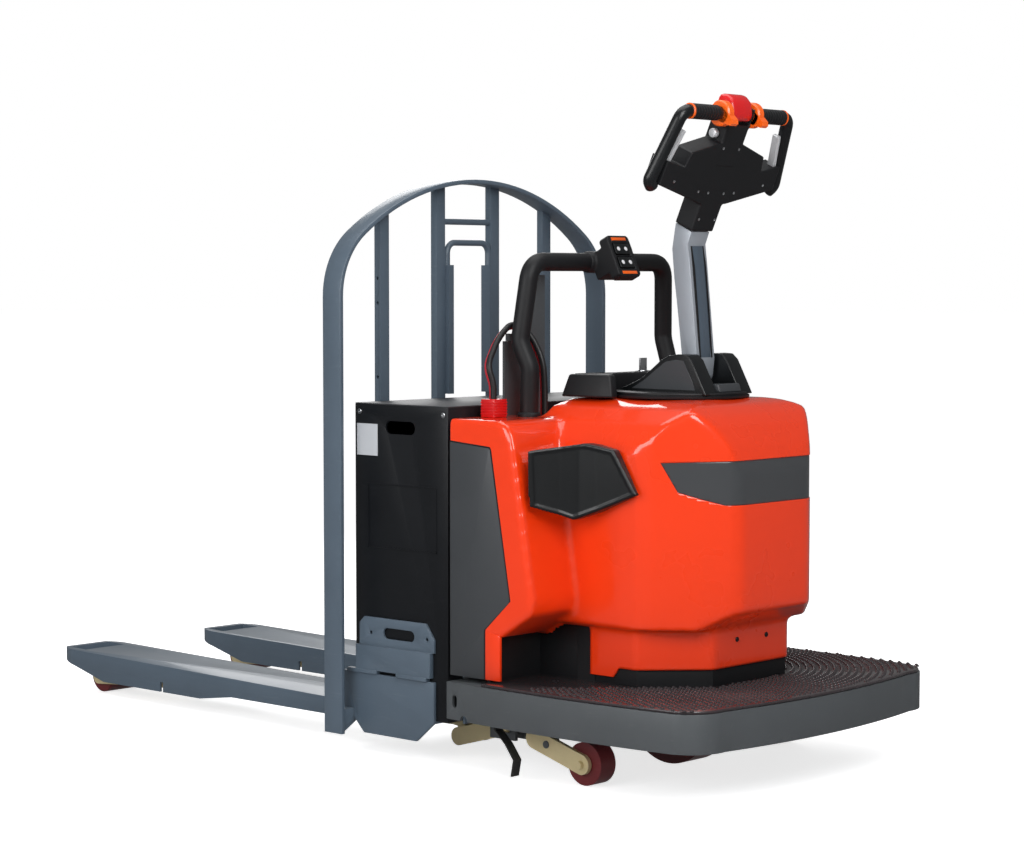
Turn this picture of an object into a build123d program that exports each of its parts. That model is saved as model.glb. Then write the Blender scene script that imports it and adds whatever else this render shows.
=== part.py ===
from build123d import *
import math
import os

# Electric ride-on pallet truck, millimetres.
# X runs along the truck from the fork tips to the rider's platform, Y across it and Z up.
# While a piece is made, X is measured from the load face of the backrest. Each piece is then
# moved by ORIGIN_SHIFT, so that the origin lies on the floor under the middle of the truck.

# ---- driving dimensions: load section ----
FORK_LENGTH = 1150.0          # load face to fork tip
BODY_LENGTH = 1054.0          # load face to the front of the platform
FORK_SPREAD = 626.0           # across both forks
FORK_WIDTH = 170.0
FORK_HEEL_TOP = 88.0          # lowered height at the heel
FORK_CAMBER = 16.0            # rise of the unladen fork from heel to tip
FORK_SKIN = 8.0               # top plate
FORK_CHEEK = 6.0              # side walls
FORK_BELLY = 34.0             # lowest edge of the deep front stretch
FORK_WAIST = 50.0             # lower edge of the shallow rear stretch
LIFT_STROKE = 125.0

WHEEL_R = 41.0                # load wheel
WHEEL_WIDTH = 100.0
WHEEL_BACK = 155.0            # fork tip to load wheel axle
ROCKER_REACH = 180.0          # rocker pivot to load wheel axle, along the fork
ROCKER_PIVOT_Z = 60.0
ROCKER_PLATE = 10.0
ROCKER_PIN_R = 12.5
LOAD_AXLE_R = 10.0
LEVER = 26.0                  # short arms that the pull rods act on
PULL_ROD_R = 8.0
CRANK_X = 240.0
CRANK_PIVOT_Z = 38.0
CRANK_SHAFT_R = 12.0
CRANK_ARM_Y = 260.0           # side offset of the long crank arms
LINK_Z = 78.0                 # height of the crank arm pins in the power unit's slotted lugs
LINK_PIN_R = 8.0
LEVER_PIN_R = 6.0
PIN_CLEAR = 0.05              # radial running clearance of pins and shafts
SLOT_CLEAR = 0.4              # clearance of pins in slots

ARCH_HALF = 441.0             # outer half width of the backrest arch
ARCH_SHOULDER = 1000.0        # height where the arch leaves its straight legs
ARCH_APEX = 1265.0
ARCH_CROWN_R = 620.0
ARCH_SIDE_R = 178.5
ARCH_DEPTH = 56.0             # along X
ARCH_BAR = 10.0
ARCH_FOOT = 42.0
POST_WIDTH = 28.0
POST_DEPTH = 18.0
POST_Y = (90.0, 269.0)        # distance of the inner and outer pair from the middle
ROUND_BAR_R = 7.0

CASE_FRONT = 51.0             # battery case, along X
CASE_BACK = 334.0
CASE_HALF = 392.0
CASE_WALL = 6.0
CASE_TOP = 766.0
LID_THICK = 3.0
TRAY_HALF = 400.0
TRAY_FRONT = 18.0
TRAY_BACK = 298.0
TRAY_FLOOR = 88.0
TRAY_RIM = 178.0
TRAY_PLATE = 6.0
CELL_COLUMNS = 12
CELL_GAP = 2.0
CELL_TOP = 640.0
KEEPER_TOP = 302.0            # battery keeper plates, one on each side
KEEPER_BEND = 240.0

# ---- driving dimensions: power unit ----
SKIRT_BOTTOM = 111.0
SKIRT_TOP = 190.0
SKIRT_WALL = 8.0
SKIRT_START = 356.0
SKIRT_HALF = 420.0            # at the rear end
SKIRT_BULGE = 434.0           # widest, half way along
SKIRT_CORNER_X = 1003.0
SKIRT_CORNER_Y = 388.0
DECK_PLATE = 6.0
MAT_THICK = 7.0
MAT_INSET = 3.0
PANEL_HALF = 400.0            # outer face of the side panels and hood wings
PANEL_THICK = 4.0
HOOD_WALL = 6.0
HOOD_START = 347.0
WAIST_HALF = 262.0            # half width of the hood's belly at the waist
SHOULDER_TOP = 745.0
HOOD_CREST = 787.0
NOSE_X = 890.0
NOSE_LIP_X = 896.0
NOSE_HALF = 119.0
BELLY_BOTTOM = 318.0
VALANCE_HALF = 243.0          # narrow foot of the hood
VALANCE_NOSE_X = 842.0
VALANCE_NOSE_HALF = 126.0
PLINTH_TOP = 256.0
PLINTH_INSET = 5.0
PLINTH_WALL = 8.0
RECESS_TOP = 292.0            # roof of the foot recesses under the wings
RAIL_START = 449.0            # rear end of the rail below each wing
WING_FOOT_X = 491.0           # front end of that rail
VISOR_THICK = 3.0
VISOR_TOP = 668.0
VISOR_BOTTOM = 586.0

RAIL_FRONT = 344.0            # lift guide rails
RAIL_BACK = 382.0
RAIL_Y = 330.0
SHOE_CLEAR = 0.5
CYLINDER_X = 400.0
RAM_R = 20.0
RAM_TOP = 560.0
STEER_X = 650.0               # steering axis
DRIVE_R = 115.0
DRIVE_WIDTH = 76.0
TURRET_R = 145.0
TURRET_PLATE = 13.0
STEER_HOLE_R = 60.0
COLUMN_R = 30.0
JOURNAL_R = 90.0
BRIDGE_Z = 300.0
BRIDGE_THICK = 12.0
MOTOR_R = 72.0
MOTOR_TOP = 540.0

PIVOT_X = 692.0               # tiller pitch axis
PIVOT_Z = 838.0
PIVOT_R = 10.0
ARM_HALF = 30.0
DOME_INNER = 38.0
DOME_OUTER = 80.0
HEAD_TILT = 24.0
NECK_X = 682.0
NECK_Z = 1146.0
BAR_UP = 261.0                # handle bar above the neck, along the tilted head
BAR_OUT = 8.0
LOOP_TOP_Y = 178.0
LOOP_LOW_Y = 210.0
LOOP_LOW_UP = 106.0
LOOP_R = 14.0
HORN_OUT = -2.0
HORN_UP = 214.0
HORN_R = 10.0

GRAB_R = 20.0
GRAB_TOP_Z = 1075.0
GRAB_HALF = 222.0
PAD_X = 488.0                 # centre of the control pad's face
PAD_Z = 1089.0
PAD_TILT = 25.0
PAD_WIDE = 72.0
PAD_TALL = 100.0

STAB_Y = 351.0                # middle of the stabiliser arm plate
STAB_PIVOT_X = 582.0
STAB_PIVOT_Z = 75.0
STAB_AXLE_X = 677.0
STAB_AXLE_R = 8.0
STAB_WHEEL_R = 45.0
STAB_PLATE = 10.0
STAB_WHEEL_WIDTH = 46.0
CABLE_R = 6.5
CONSOLE_RISE = 48.0
KEY_X = 484.0
KEY_Y = 70.0
KEY_R = 11.0
DRIVE_AXLE_R = 18.0

# ---- derived ----
ORIGIN_SHIFT = (FORK_LENGTH - BODY_LENGTH) / 2
FORK_Y = (FORK_SPREAD - FORK_WIDTH) / 2
CHANNEL_HALF = FORK_WIDTH / 2 - FORK_CHEEK
AXLE_X = -FORK_LENGTH + WHEEL_BACK
ROCKER_X = AXLE_X + ROCKER_REACH
ROCKER_ARM = math.hypot(ROCKER_REACH, ROCKER_PIVOT_Z - WHEEL_R)
ROCKER_START = math.asin((ROCKER_PIVOT_Z - WHEEL_R) / ROCKER_ARM)
ROCKER_END = math.asin((ROCKER_PIVOT_Z - WHEEL_R + LIFT_STROKE) / ROCKER_ARM)
SWING = ROCKER_END - ROCKER_START
PIN_SHIFT = LEVER * math.sin(SWING / 2)
PIN_RISE = LEVER * math.cos(SWING / 2)
PIN_ARC = LEVER - PIN_RISE    # how far a lever pin leaves the rod's line half way
LINK_RISE = LINK_Z - CRANK_PIVOT_Z
LINK_START = math.atan2(math.sin(SWING), (LIFT_STROKE - LINK_RISE) / LINK_RISE + math.cos(SWING))
CRANK_ARM = LINK_RISE / math.sin(LINK_START)
LINK_X = CRANK_X + CRANK_ARM * math.cos(LINK_START)
LINK_BACK = CRANK_X + CRANK_ARM * math.cos(LINK_START - SWING)
PIN_DRIFT = [LIFT_STROKE * t - LINK_RISE + CRANK_ARM * math.sin(LINK_START - SWING * t)
             for t in (0, 0.25, 0.5, 0.6, 0.7, 0.8, 1)]
MAT_TOP = SKIRT_TOP + MAT_THICK
os.makedirs("parts", exist_ok=True)


def fork_top(x):
    """Height of the fork's top face at a place along it."""
    return FORK_HEEL_TOP - FORK_CAMBER * x / FORK_LENGTH


def box(x0, x1, y0, y1, z0, z1):
    """Box between two corners."""
    size = (x1 - x0, y1 - y0, z1 - z0)
    return Pos((x0 + x1) / 2, (y0 + y1) / 2, (z0 + z1) / 2) * Box(*size)


def both(shape):
    """A shape and its mirror image across the middle of the truck."""
    return [shape, mirror(shape, about=Plane.XZ)]


def side_prism(points, y0, y1):
    """Outline in X and Z, drawn out from y0 to y1."""
    wire = Polyline(*[(x, y0, z) for x, z in points], close=True)
    return extrude(make_face(wire), amount=y1 - y0, dir=(0, 1, 0))


def plan_prism(points, z0, z1):
    """Outline in X and Y, drawn up from z0 to z1."""
    wire = Polyline(*[(x, y, z0) for x, y in points], close=True)
    return extrude(make_face(wire), amount=z1 - z0, dir=(0, 0, 1))


def front_prism(points, x0, x1):
    """Outline in Y and Z, drawn out from x0 to x1."""
    wire = Polyline(*[(x0, y, z) for y, z in points], close=True)
    return extrude(make_face(wire), amount=x1 - x0, dir=(1, 0, 0))


def mirrored(points):
    """Half outline as (x, y) with y positive, completed across the middle."""
    return points + [(x, -y) for x, y in reversed(points)]


def rod_y(x, z, radius, y0, y1):
    """Round bar along Y."""
    turn = Rot(90, 0, 0)
    return Pos(x, (y0 + y1) / 2, z) * turn * Cylinder(radius, y1 - y0)


def rod_z(x, y, radius, z0, z1):
    """Round bar along Z."""
    return Pos(x, y, (z0 + z1) / 2) * Cylinder(radius, z1 - z0)


def tube_path(points, bends, radius):
    """Round bar that follows straight runs joined by arcs."""
    path = FilletPolyline(*points, radius=bends)
    return sweep(Plane(path @ 0, z_dir=path % 0) * Circle(radius), path=path)


def stadium(x0, z0, r0, x1, z1, r1, y0, y1):
    """Link plate: two round ends joined by straight flanks."""
    angle = math.atan2(z1 - z0, x1 - x0)
    side_x, side_z = -math.sin(angle), math.cos(angle)
    flank = [(x0 + side_x * r0, z0 + side_z * r0), (x1 + side_x * r1, z1 + side_z * r1),
             (x1 - side_x * r1, z1 - side_z * r1), (x0 - side_x * r0, z0 - side_z * r0)]
    return side_prism(flank, y0, y1) + rod_y(x0, z0, r0, y0, y1) + rod_y(x1, z1, r1, y0, y1)


def slot_y(x, z, half_x, half_z, y0, y1):
    """Rounded slot through Y."""
    radius = min(half_x, half_z)
    if half_x > half_z:
        return stadium(x - half_x + radius, z, radius, x + half_x - radius, z, radius, y0, y1)
    return stadium(x, z - half_z + radius, radius, x, z + half_z - radius, radius, y0, y1)


def emit(node, *shapes):
    """Write one node, shifted to the truck's origin."""
    solids = [solid for shape in shapes for solid in shape.solids()]
    placed = [Pos(ORIGIN_SHIFT, 0, 0) * solid for solid in solids]
    export_step(placed[0] if len(placed) == 1 else Compound(children=placed), f"parts/{node}.step")


# =====================================================================================
# Load section
# =====================================================================================
def fork_blade(y_mid):
    """Channel blade with a boat-shaped nose, and the rocker's pivot pin across it."""
    y0, y1 = y_mid - FORK_WIDTH / 2, y_mid + FORK_WIDTH / 2
    tip = -FORK_LENGTH
    step = 6.0
    notch = AXLE_X + 271
    outline = [(0, FORK_WAIST), (tip + 690, FORK_WAIST), (tip + 574, FORK_BELLY),
               (notch + 11, FORK_BELLY), (notch + 11, FORK_BELLY + 24), (notch, FORK_BELLY + 24),
               (notch, FORK_BELLY), (AXLE_X + 50, FORK_BELLY), (tip + 86, FORK_BELLY + 30),
               (tip, FORK_BELLY + 46), (tip, fork_top(tip) - 14), (tip + 26, fork_top(tip)),
               (-step, fork_top(-step)), (0, fork_top(0) - step)]
    blade = side_prism(outline, y0, y1)
    nose_r = FORK_WIDTH / 2
    plan = plan_prism([(tip + nose_r, y0), (0, y0), (0, y1), (tip + nose_r, y1)], 0, 150)
    plan += rod_z(tip + nose_r, y_mid, nose_r, 0, 150)
    blade &= plan
    bay_end = AXLE_X - WHEEL_R - 9
    bay = [(bay_end, 0), (1, 0), (1, fork_top(0) - FORK_SKIN), (bay_end, fork_top(bay_end) - FORK_SKIN)]
    blade -= side_prism(bay, y_mid - CHANNEL_HALF, y_mid + CHANNEL_HALF)
    window = 62.0
    blade -= box(tip + 42, tip + 42 + window, y_mid - 62, y_mid + 62, 0, 150)
    return blade + rod_y(ROCKER_X, ROCKER_PIVOT_Z, ROCKER_PIN_R, y_mid - CHANNEL_HALF, y_mid + CHANNEL_HALF)


def load_rocker(y_mid):
    """Lever that swings the load wheel down, with its axle and the pull rod's pin."""
    plate_y = WHEEL_WIDTH / 2 + 3
    cheek = stadium(AXLE_X, WHEEL_R, 19, ROCKER_X, ROCKER_PIVOT_Z, 24,
                    y_mid + plate_y, y_mid + plate_y + ROCKER_PLATE)
    twin = stadium(AXLE_X, WHEEL_R, 19, ROCKER_X, ROCKER_PIVOT_Z, 24,
                   y_mid - plate_y - ROCKER_PLATE, y_mid - plate_y)
    tube = rod_y(ROCKER_X, ROCKER_PIVOT_Z, 22, y_mid - plate_y, y_mid + plate_y)
    pin_x, pin_z = ROCKER_X - PIN_SHIFT, ROCKER_PIVOT_Z - PIN_RISE
    body = cheek + twin + tube - box(ROCKER_X - 60, ROCKER_X + 60, y_mid - 8, y_mid + 8, 0, 100)
    for side in (-1, 1):
        near, far = sorted((y_mid + side * 8, y_mid + side * 18))
        body += stadium(ROCKER_X, ROCKER_PIVOT_Z, 20, pin_x, pin_z, 11, near, far)
    body += rod_y(pin_x, pin_z, LEVER_PIN_R, y_mid - 8, y_mid + 8)
    body += rod_y(AXLE_X, WHEEL_R, LOAD_AXLE_R, y_mid - plate_y, y_mid + plate_y)
    return body - rod_y(ROCKER_X, ROCKER_PIVOT_Z, ROCKER_PIN_R + PIN_CLEAR, y_mid - 90, y_mid + 90)


def load_wheel(y_mid):
    """Polyurethane roller with a hollow core that turns on the axle."""
    half = WHEEL_WIDTH / 2
    wheel = rod_y(AXLE_X, WHEEL_R, WHEEL_R, y_mid - half, y_mid + half)
    rims = wheel.edges().filter_by(GeomType.CIRCLE).group_by(SortBy.RADIUS)[-1]
    wheel = chamfer(rims, 3)
    return wheel - rod_y(AXLE_X, WHEEL_R, LOAD_AXLE_R + PIN_CLEAR, y_mid - half - 1, y_mid + half + 1)


def rod_eye(x, z, bow, y_mid):
    """Slotted eye round a lever pin; bow is the way the pin leaves the rod's line."""
    half = LEVER_PIN_R + SLOT_CLEAR
    middle = z + bow * PIN_ARC / 2
    toward = 30 if x < 0 else -30
    eye = stadium(x, middle, 11.4, x + toward, middle, 9, y_mid - 6, y_mid + 6)
    return eye, slot_y(x, middle, half, half + PIN_ARC / 2, y_mid - 7, y_mid + 7)


def pull_rod(y_mid):
    """Bar from the crank to the rocker, with a slotted eye at each end."""
    ends = [(ROCKER_X - PIN_SHIFT, ROCKER_PIVOT_Z - PIN_RISE),
            (CRANK_X - PIN_SHIFT, CRANK_PIVOT_Z + PIN_RISE)]
    line = Line((ends[0][0] + 26, y_mid, ends[0][1]), (ends[1][0] - 26, y_mid, ends[1][1]))
    rod = sweep(Plane(line @ 0, z_dir=line % 0) * Circle(PULL_ROD_R), path=line)
    for (x, z), bow in zip(ends, (-1, 1)):
        eye, slot = rod_eye(x, z, bow, y_mid)
        rod = rod + eye - slot
    return rod


def lift_crank():
    """Cross shaft with the short arms for the pull rods and the long arms with their pins."""
    reach = CRANK_ARM_Y + 6
    crank = rod_y(CRANK_X, CRANK_PIVOT_Z, CRANK_SHAFT_R, -reach, reach)
    pin_x, pin_z = CRANK_X - PIN_SHIFT, CRANK_PIVOT_Z + PIN_RISE
    for side in (-1, 1):
        y_mid = side * FORK_Y
        for inner in (-18, 8):
            crank += stadium(CRANK_X, CRANK_PIVOT_Z, 18, pin_x, pin_z, 11,
                             y_mid + inner, y_mid + inner + 10)
        crank += rod_y(pin_x, pin_z, LEVER_PIN_R, y_mid - 8, y_mid + 8)
        arm_y = side * CRANK_ARM_Y
        crank += stadium(CRANK_X, CRANK_PIVOT_Z, 20, LINK_X, LINK_Z, 17, arm_y - 6, arm_y + 6)
        crank += rod_y(LINK_X, LINK_Z, LINK_PIN_R, arm_y - 18, arm_y + 18)
    return crank


def arch_face(inset):
    """Face under the backrest arch, drawn in by inset."""
    half, foot = ARCH_HALF - inset, 0
    crown_r, side_r = ARCH_CROWN_R - inset, ARCH_SIDE_R - inset
    crown_z = ARCH_APEX - ARCH_CROWN_R
    side_y = ARCH_HALF - ARCH_SIDE_R
    lean = math.atan2(side_y, ARCH_SHOULDER - crown_z)
    join = (crown_r * math.sin(lean), crown_z + crown_r * math.cos(lean))
    mid_angle = (math.pi / 2 + lean) / 2
    mid = (side_y + side_r * math.sin(mid_angle), ARCH_SHOULDER + side_r * math.cos(mid_angle))
    right = ThreePointArc((0, half, ARCH_SHOULDER), (0, mid[0], mid[1]), (0, join[0], join[1]))
    crown = ThreePointArc((0, join[0], join[1]), (0, 0, crown_z + crown_r), (0, -join[0], join[1]))
    left = ThreePointArc((0, -join[0], join[1]), (0, -mid[0], mid[1]), (0, -half, ARCH_SHOULDER))
    legs = Polyline((0, -half, ARCH_SHOULDER), (0, -half, foot), (0, half, foot), (0, half, ARCH_SHOULDER))
    return make_face(right + crown + left + legs)


def backrest():
    """Arch, four posts and the round bars between the inner posts."""
    whole = extrude(arch_face(0), amount=ARCH_DEPTH, dir=(1, 0, 0))
    inside = extrude(arch_face(ARCH_BAR), amount=ARCH_DEPTH, dir=(1, 0, 0))
    above = box(-1, ARCH_DEPTH + 1, -ARCH_HALF - 1, ARCH_HALF + 1, ARCH_FOOT, ARCH_APEX + 1)
    arch = (whole - inside) & above
    posts = None
    for y in (-POST_Y[1], -POST_Y[0], POST_Y[0], POST_Y[1]):
        post = box(0, POST_DEPTH, y - POST_WIDTH / 2, y + POST_WIDTH / 2, FORK_HEEL_TOP, ARCH_APEX)
        for z in (820, 985, 1040):
            if abs(y) > POST_Y[0]:
                post -= rod_y(POST_DEPTH / 2, z, 4, y - 30, y + 30)
        posts = post if posts is None else posts + post
    posts &= inside
    reach = POST_Y[0] - POST_WIDTH / 2
    cross = rod_y(POST_DEPTH / 2, 1169, ROUND_BAR_R, -reach, reach)
    leg_y, top, foot = reach - 8, 1121, 1070
    loop = tube_path([(16, -leg_y, foot), (16, -leg_y, top), (16, leg_y, top), (16, leg_y, foot)],
                     24, ROUND_BAR_R)
    strips = both(box(2, 30, reach - 16, reach, CASE_TOP + 10, foot))
    return arch, posts, [cross, loop] + strips


def load_chassis():
    """Battery tray and the welded frame that carries the forks, the backrest and the guides."""
    frame = box(TRAY_FRONT, TRAY_BACK, -TRAY_HALF, TRAY_HALF, TRAY_FLOOR, TRAY_RIM)
    wall = TRAY_HALF - CASE_HALF
    frame -= box(CASE_FRONT, TRAY_BACK + 1, -CASE_HALF, CASE_HALF, TRAY_FLOOR + TRAY_PLATE, TRAY_RIM + 1)
    frame -= box(TRAY_FRONT + 10, CASE_FRONT - 8, -CASE_HALF, CASE_HALF,
                 TRAY_FLOOR + TRAY_PLATE, TRAY_RIM + 1)
    frame += box(TRAY_BACK, CASE_BACK + 8, -300, 300, TRAY_FLOOR, TRAY_FLOOR + TRAY_PLATE)
    frame += box(CASE_BACK + 2, CASE_BACK + 8, -350, 350, TRAY_FLOOR, 690)
    frame += box(TRAY_FRONT, TRAY_FRONT + 8, -330, 330, FORK_WAIST, TRAY_FLOOR)
    apron = [(39, TRAY_FLOOR), (83, 45), (244, 45), (296, TRAY_FLOOR)]
    for y0 in (-TRAY_HALF, TRAY_HALF - wall):
        frame += side_prism(apron, y0, y0 + wall)
    for side in (-1, 1):
        y_mid = side * FORK_Y
        frame += box(0, TRAY_FRONT, y_mid - FORK_WIDTH / 2, y_mid + FORK_WIDTH / 2, FORK_WAIST, FORK_HEEL_TOP)
        frame -= box(-1, TRAY_FRONT + 9, y_mid - 20, y_mid + 20, FORK_WAIST - 6, FORK_HEEL_TOP - 10)
        foot = [(CASE_HALF, 96), (ARCH_HALF - ARCH_BAR, 96), (ARCH_HALF - ARCH_BAR, 44), (CASE_HALF, 66)]
        foot = [(side * y, z) for y, z in foot]
        frame += front_prism(foot, TRAY_FRONT + 2, ARCH_DEPTH - 6)
        for y in (side * 130, side * 180):
            lug = stadium(CRANK_X, TRAY_FLOOR - 2, 26, CRANK_X, CRANK_PIVOT_Z, 20, y - 6, y + 6)
            frame += lug & box(0, 400, -400, 400, 0, TRAY_FLOOR)
    frame -= rod_y(CRANK_X, CRANK_PIVOT_Z, CRANK_SHAFT_R + PIN_CLEAR, -190, 190)
    frame += box(CASE_BACK + 8, 440, -45, 45, 560, 580)
    return frame


def battery_case():
    """Steel case, open at the top, with a lifting slot in each end wall."""
    case = box(CASE_FRONT, CASE_BACK, -CASE_HALF, CASE_HALF, TRAY_FLOOR + TRAY_PLATE, CASE_TOP)
    case -= box(CASE_FRONT + CASE_WALL, CASE_BACK - CASE_WALL, -CASE_HALF + CASE_WALL,
                CASE_HALF - CASE_WALL, TRAY_FLOOR + TRAY_PLATE + CASE_WALL, CASE_TOP + 1)
    slot = slot_y(190, 718, 45, 14, -CASE_HALF - 1, CASE_HALF + 1)
    return case - slot


def battery_cells():
    """Two rows of cells on the floor of the case."""
    low = TRAY_FLOOR + TRAY_PLATE + CASE_WALL
    x0, x1 = CASE_FRONT + CASE_WALL + CELL_GAP, CASE_BACK - CASE_WALL - CELL_GAP
    y0, y1 = -CASE_HALF + CASE_WALL + CELL_GAP, CASE_HALF - CASE_WALL - CELL_GAP
    deep = (x1 - x0 - CELL_GAP) / 2
    wide = (y1 - y0 - CELL_GAP * (CELL_COLUMNS - 1)) / CELL_COLUMNS
    cells = []
    for row in range(2):
        for column in range(CELL_COLUMNS):
            cx, cy = x0 + row * (deep + CELL_GAP), y0 + column * (wide + CELL_GAP)
            cells.append(box(cx, cx + deep, cy, cy + wide, low, CELL_TOP))
    return cells


def battery_keeper(side):
    """Hooked plate that keeps the battery from sliding out sideways."""
    upper = [(84, KEEPER_TOP), (272, KEEPER_TOP), (297, KEEPER_TOP - 34), (297, KEEPER_BEND),
             (68, KEEPER_BEND), (68, KEEPER_TOP - 14)]
    plate = side_prism(upper, CASE_HALF + 0.3, CASE_HALF + 6)
    plate -= slot_y(190, KEEPER_TOP - 32, 48, 12, CASE_HALF, CASE_HALF + 7)
    for x in (104, 276):
        plate -= rod_y(x, KEEPER_TOP - 34, 4, CASE_HALF, CASE_HALF + 7)
    plate += box(62, 290, CASE_HALF + 0.3, CASE_HALF + 12, TRAY_RIM + 8, KEEPER_BEND)
    for x0, x1 in ((36, 128), (188, 280)):
        plate += box(x0, x1, CASE_HALF + 0.3, TRAY_HALF + 6, TRAY_RIM, TRAY_RIM + 8)
    return plate if side > 0 else mirror(plate, about=Plane.XZ)


# =====================================================================================
# Power unit
# =====================================================================================
def platform_face(inset, z):
    """Plan of the platform: gently bulged sides, round corners and a bowed front."""
    start = SKIRT_START if inset == 0 else SKIRT_START + inset
    half, bulge = SKIRT_HALF - inset, SKIRT_BULGE - inset
    corner_x, corner_y = SKIRT_CORNER_X - inset * 0.7, SKIRT_CORNER_Y - inset * 0.7
    front = BODY_LENGTH - inset
    side_end, front_end = (960 - inset * 0.3, 413 - inset), (1024 - inset, 320 - inset * 0.3)
    near = ThreePointArc((start, -half, z), (680, -bulge, z), (side_end[0], -side_end[1], z))
    turn = ThreePointArc((side_end[0], -side_end[1], z), (corner_x, -corner_y, z),
                         (front_end[0], -front_end[1], z))
    bow = ThreePointArc((front_end[0], -front_end[1], z), (front, 0, z), (front_end[0], front_end[1], z))
    back_turn = ThreePointArc((front_end[0], front_end[1], z), (corner_x, corner_y, z),
                              (side_end[0], side_end[1], z))
    far = ThreePointArc((side_end[0], side_end[1], z), (680, bulge, z), (start, half, z))
    return make_face(near + turn + bow + back_turn + far + Line((start, half, z), (start, -half, z)))


def platform_solid(inset, z0, z1):
    """Platform's plan drawn up between two heights."""
    return extrude(platform_face(inset, z0), amount=z1 - z0, dir=(0, 0, 1))


VALANCE = mirrored([(575, VALANCE_HALF), (728, VALANCE_HALF), (VALANCE_NOSE_X, VALANCE_NOSE_HALF)])
BELLY = mirrored([(HOOD_START, WAIST_HALF), (700, WAIST_HALF + 2), (762, WAIST_HALF - 14),
                  (848, 182), (NOSE_LIP_X, 128), (NOSE_LIP_X + 8, NOSE_HALF - 15)])
BELLY_SIDE = [(HOOD_START, SHOULDER_TOP), (441, SHOULDER_TOP), (456, HOOD_CREST - 3),
              (560, HOOD_CREST), (786, HOOD_CREST), (832, 768), (866, 736), (888, 700),
              (NOSE_LIP_X, VISOR_TOP), (NOSE_X, VISOR_TOP - 2), (NOSE_X, VISOR_BOTTOM - 10),
              (NOSE_LIP_X + 6, 380), (NOSE_LIP_X, 352), (VALANCE_NOSE_X, BELLY_BOTTOM),
              (HOOD_START, BELLY_BOTTOM)]
BELLY_FRONT = [(-275, BELLY_BOTTOM), (-275, 640), (-258, 700), (-215, 755), (-150, HOOD_CREST),
               (150, HOOD_CREST), (215, 755), (258, 700), (275, 640), (275, BELLY_BOTTOM)]
WING_SIDE = [(HOOD_START, SHOULDER_TOP), (490, SHOULDER_TOP), (512, 730), (527, 704), (583, 376),
             (575, 345), (WING_FOOT_X, RECESS_TOP), (WING_FOOT_X, MAT_TOP + 4), (HOOD_START, MAT_TOP + 4)]
PANEL_SIDE = [(HOOD_START, 698), (463, 688), (521, 372), (449, 306), (449, MAT_TOP + 4),
              (HOOD_START, MAT_TOP + 4)]


def shrunk(points, amount, drop=0.0, back=0.0):
    """Closed outline moved inwards, with its lowest points lowered and its rearmost moved back."""
    face = make_face(Polyline(*points, close=True))
    inner = offset(face, amount=-amount, kind=Kind.INTERSECTION)
    low = min(y for _, y in points)
    rear = min(x for x, _ in points)
    out = []
    for x, y in ordered(inner.face().outer_wire()):
        if drop and y < low + amount * 1.5:
            y = low - drop
        if back and x < rear + amount * 1.5:
            x = rear - back
        out.append((x, y))
    return out


def ordered(wire):
    """Corners of a wire of straight edges, in order."""
    edges = wire.order_edges()
    return [((e @ 0).X, (e @ 0).Y) for e in edges]


def hood_solid(inset):
    """Solid body of the hood; inset draws every wall in and opens its base and its rear."""
    drop = 30.0 if inset else 0.0
    wing_half = PANEL_HALF - inset
    if inset:
        wing, side = shrunk(WING_SIDE, inset, drop, drop), shrunk(BELLY_SIDE, inset, 0, drop)
        belly, front = shrunk(BELLY, inset, 0, drop), shrunk(BELLY_FRONT, inset, drop)
        foot = shrunk(VALANCE, inset, 0, 300)
    else:
        wing, side, belly, front, foot = WING_SIDE, BELLY_SIDE, BELLY, BELLY_FRONT, VALANCE
    body = plan_prism(belly, BELLY_BOTTOM - drop, HOOD_CREST + 5)
    body &= side_prism(side, -300, 300)
    body &= front_prism(front, HOOD_START - 40, NOSE_LIP_X + 20)
    body += side_prism(wing, -wing_half, wing_half)
    body += plan_prism(foot, PLINTH_TOP - drop, BELLY_BOTTOM + 14)
    return body


def hood_pieces():
    """Hood shell with its two lower rails, the visor let into its nose, and the two side panels."""
    outer, inner = hood_solid(0), hood_solid(HOOD_WALL)
    shell = outer - inner
    open_half = VALANCE_HALF - PLINTH_INSET + 1
    shell -= box(HOOD_START - 1, 574, -open_half, open_half, 0, 350)
    shell -= box(346, 357, -242, -109, SHOULDER_TOP - 10, SHOULDER_TOP + 1)
    rails = []
    for side in (-1, 1):
        span = sorted((side * open_half, side * (PANEL_HALF + 1)))
        shell -= box(RAIL_START, 500, *span, 0, RECESS_TOP - 0.5)
        span = sorted((side * (PANEL_HALF - HOOD_WALL), side * PANEL_HALF))
        rails.append(box(RAIL_START, WING_FOOT_X, *span, MAT_TOP + 4, RECESS_TOP - 0.5))
    shell -= rod_z(STEER_X, 0, STEER_HOLE_R, HOOD_CREST - 40, HOOD_CREST + 40)
    band = side_prism([(770, 662), (NOSE_LIP_X + 20, VISOR_TOP), (NOSE_LIP_X + 20, VISOR_BOTTOM),
                       (880, VISOR_BOTTOM - 12), (812, 603)], -300, 300)
    visor = (outer - hood_solid(VISOR_THICK)) & band
    panels = []
    for y0 in (-PANEL_HALF, PANEL_HALF - PANEL_THICK):
        plate = side_prism(PANEL_SIDE, y0, y0 + PANEL_THICK)
        shell -= plate
        panels.append(plate)
    return [shell - visor, *rails], visor, panels


def knee_pad(side):
    """Bent cushion plate between the hood's wing and its belly."""
    strip = plan_prism([(562, 398), (604, 338), (664, 296), (757, 276), (757, 264.4), (700, 264.4),
                        (655, 264.1), (604, 300), (584, 330), (562, 372)], 530, 710)
    outline = [(562, 688), (640, 702), (704, 690), (757, 598), (624, 541), (564, 572)]
    pad = strip & side_prism(outline, 250, 410)
    return pad if side > 0 else mirror(pad, about=Plane.XZ)


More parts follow.
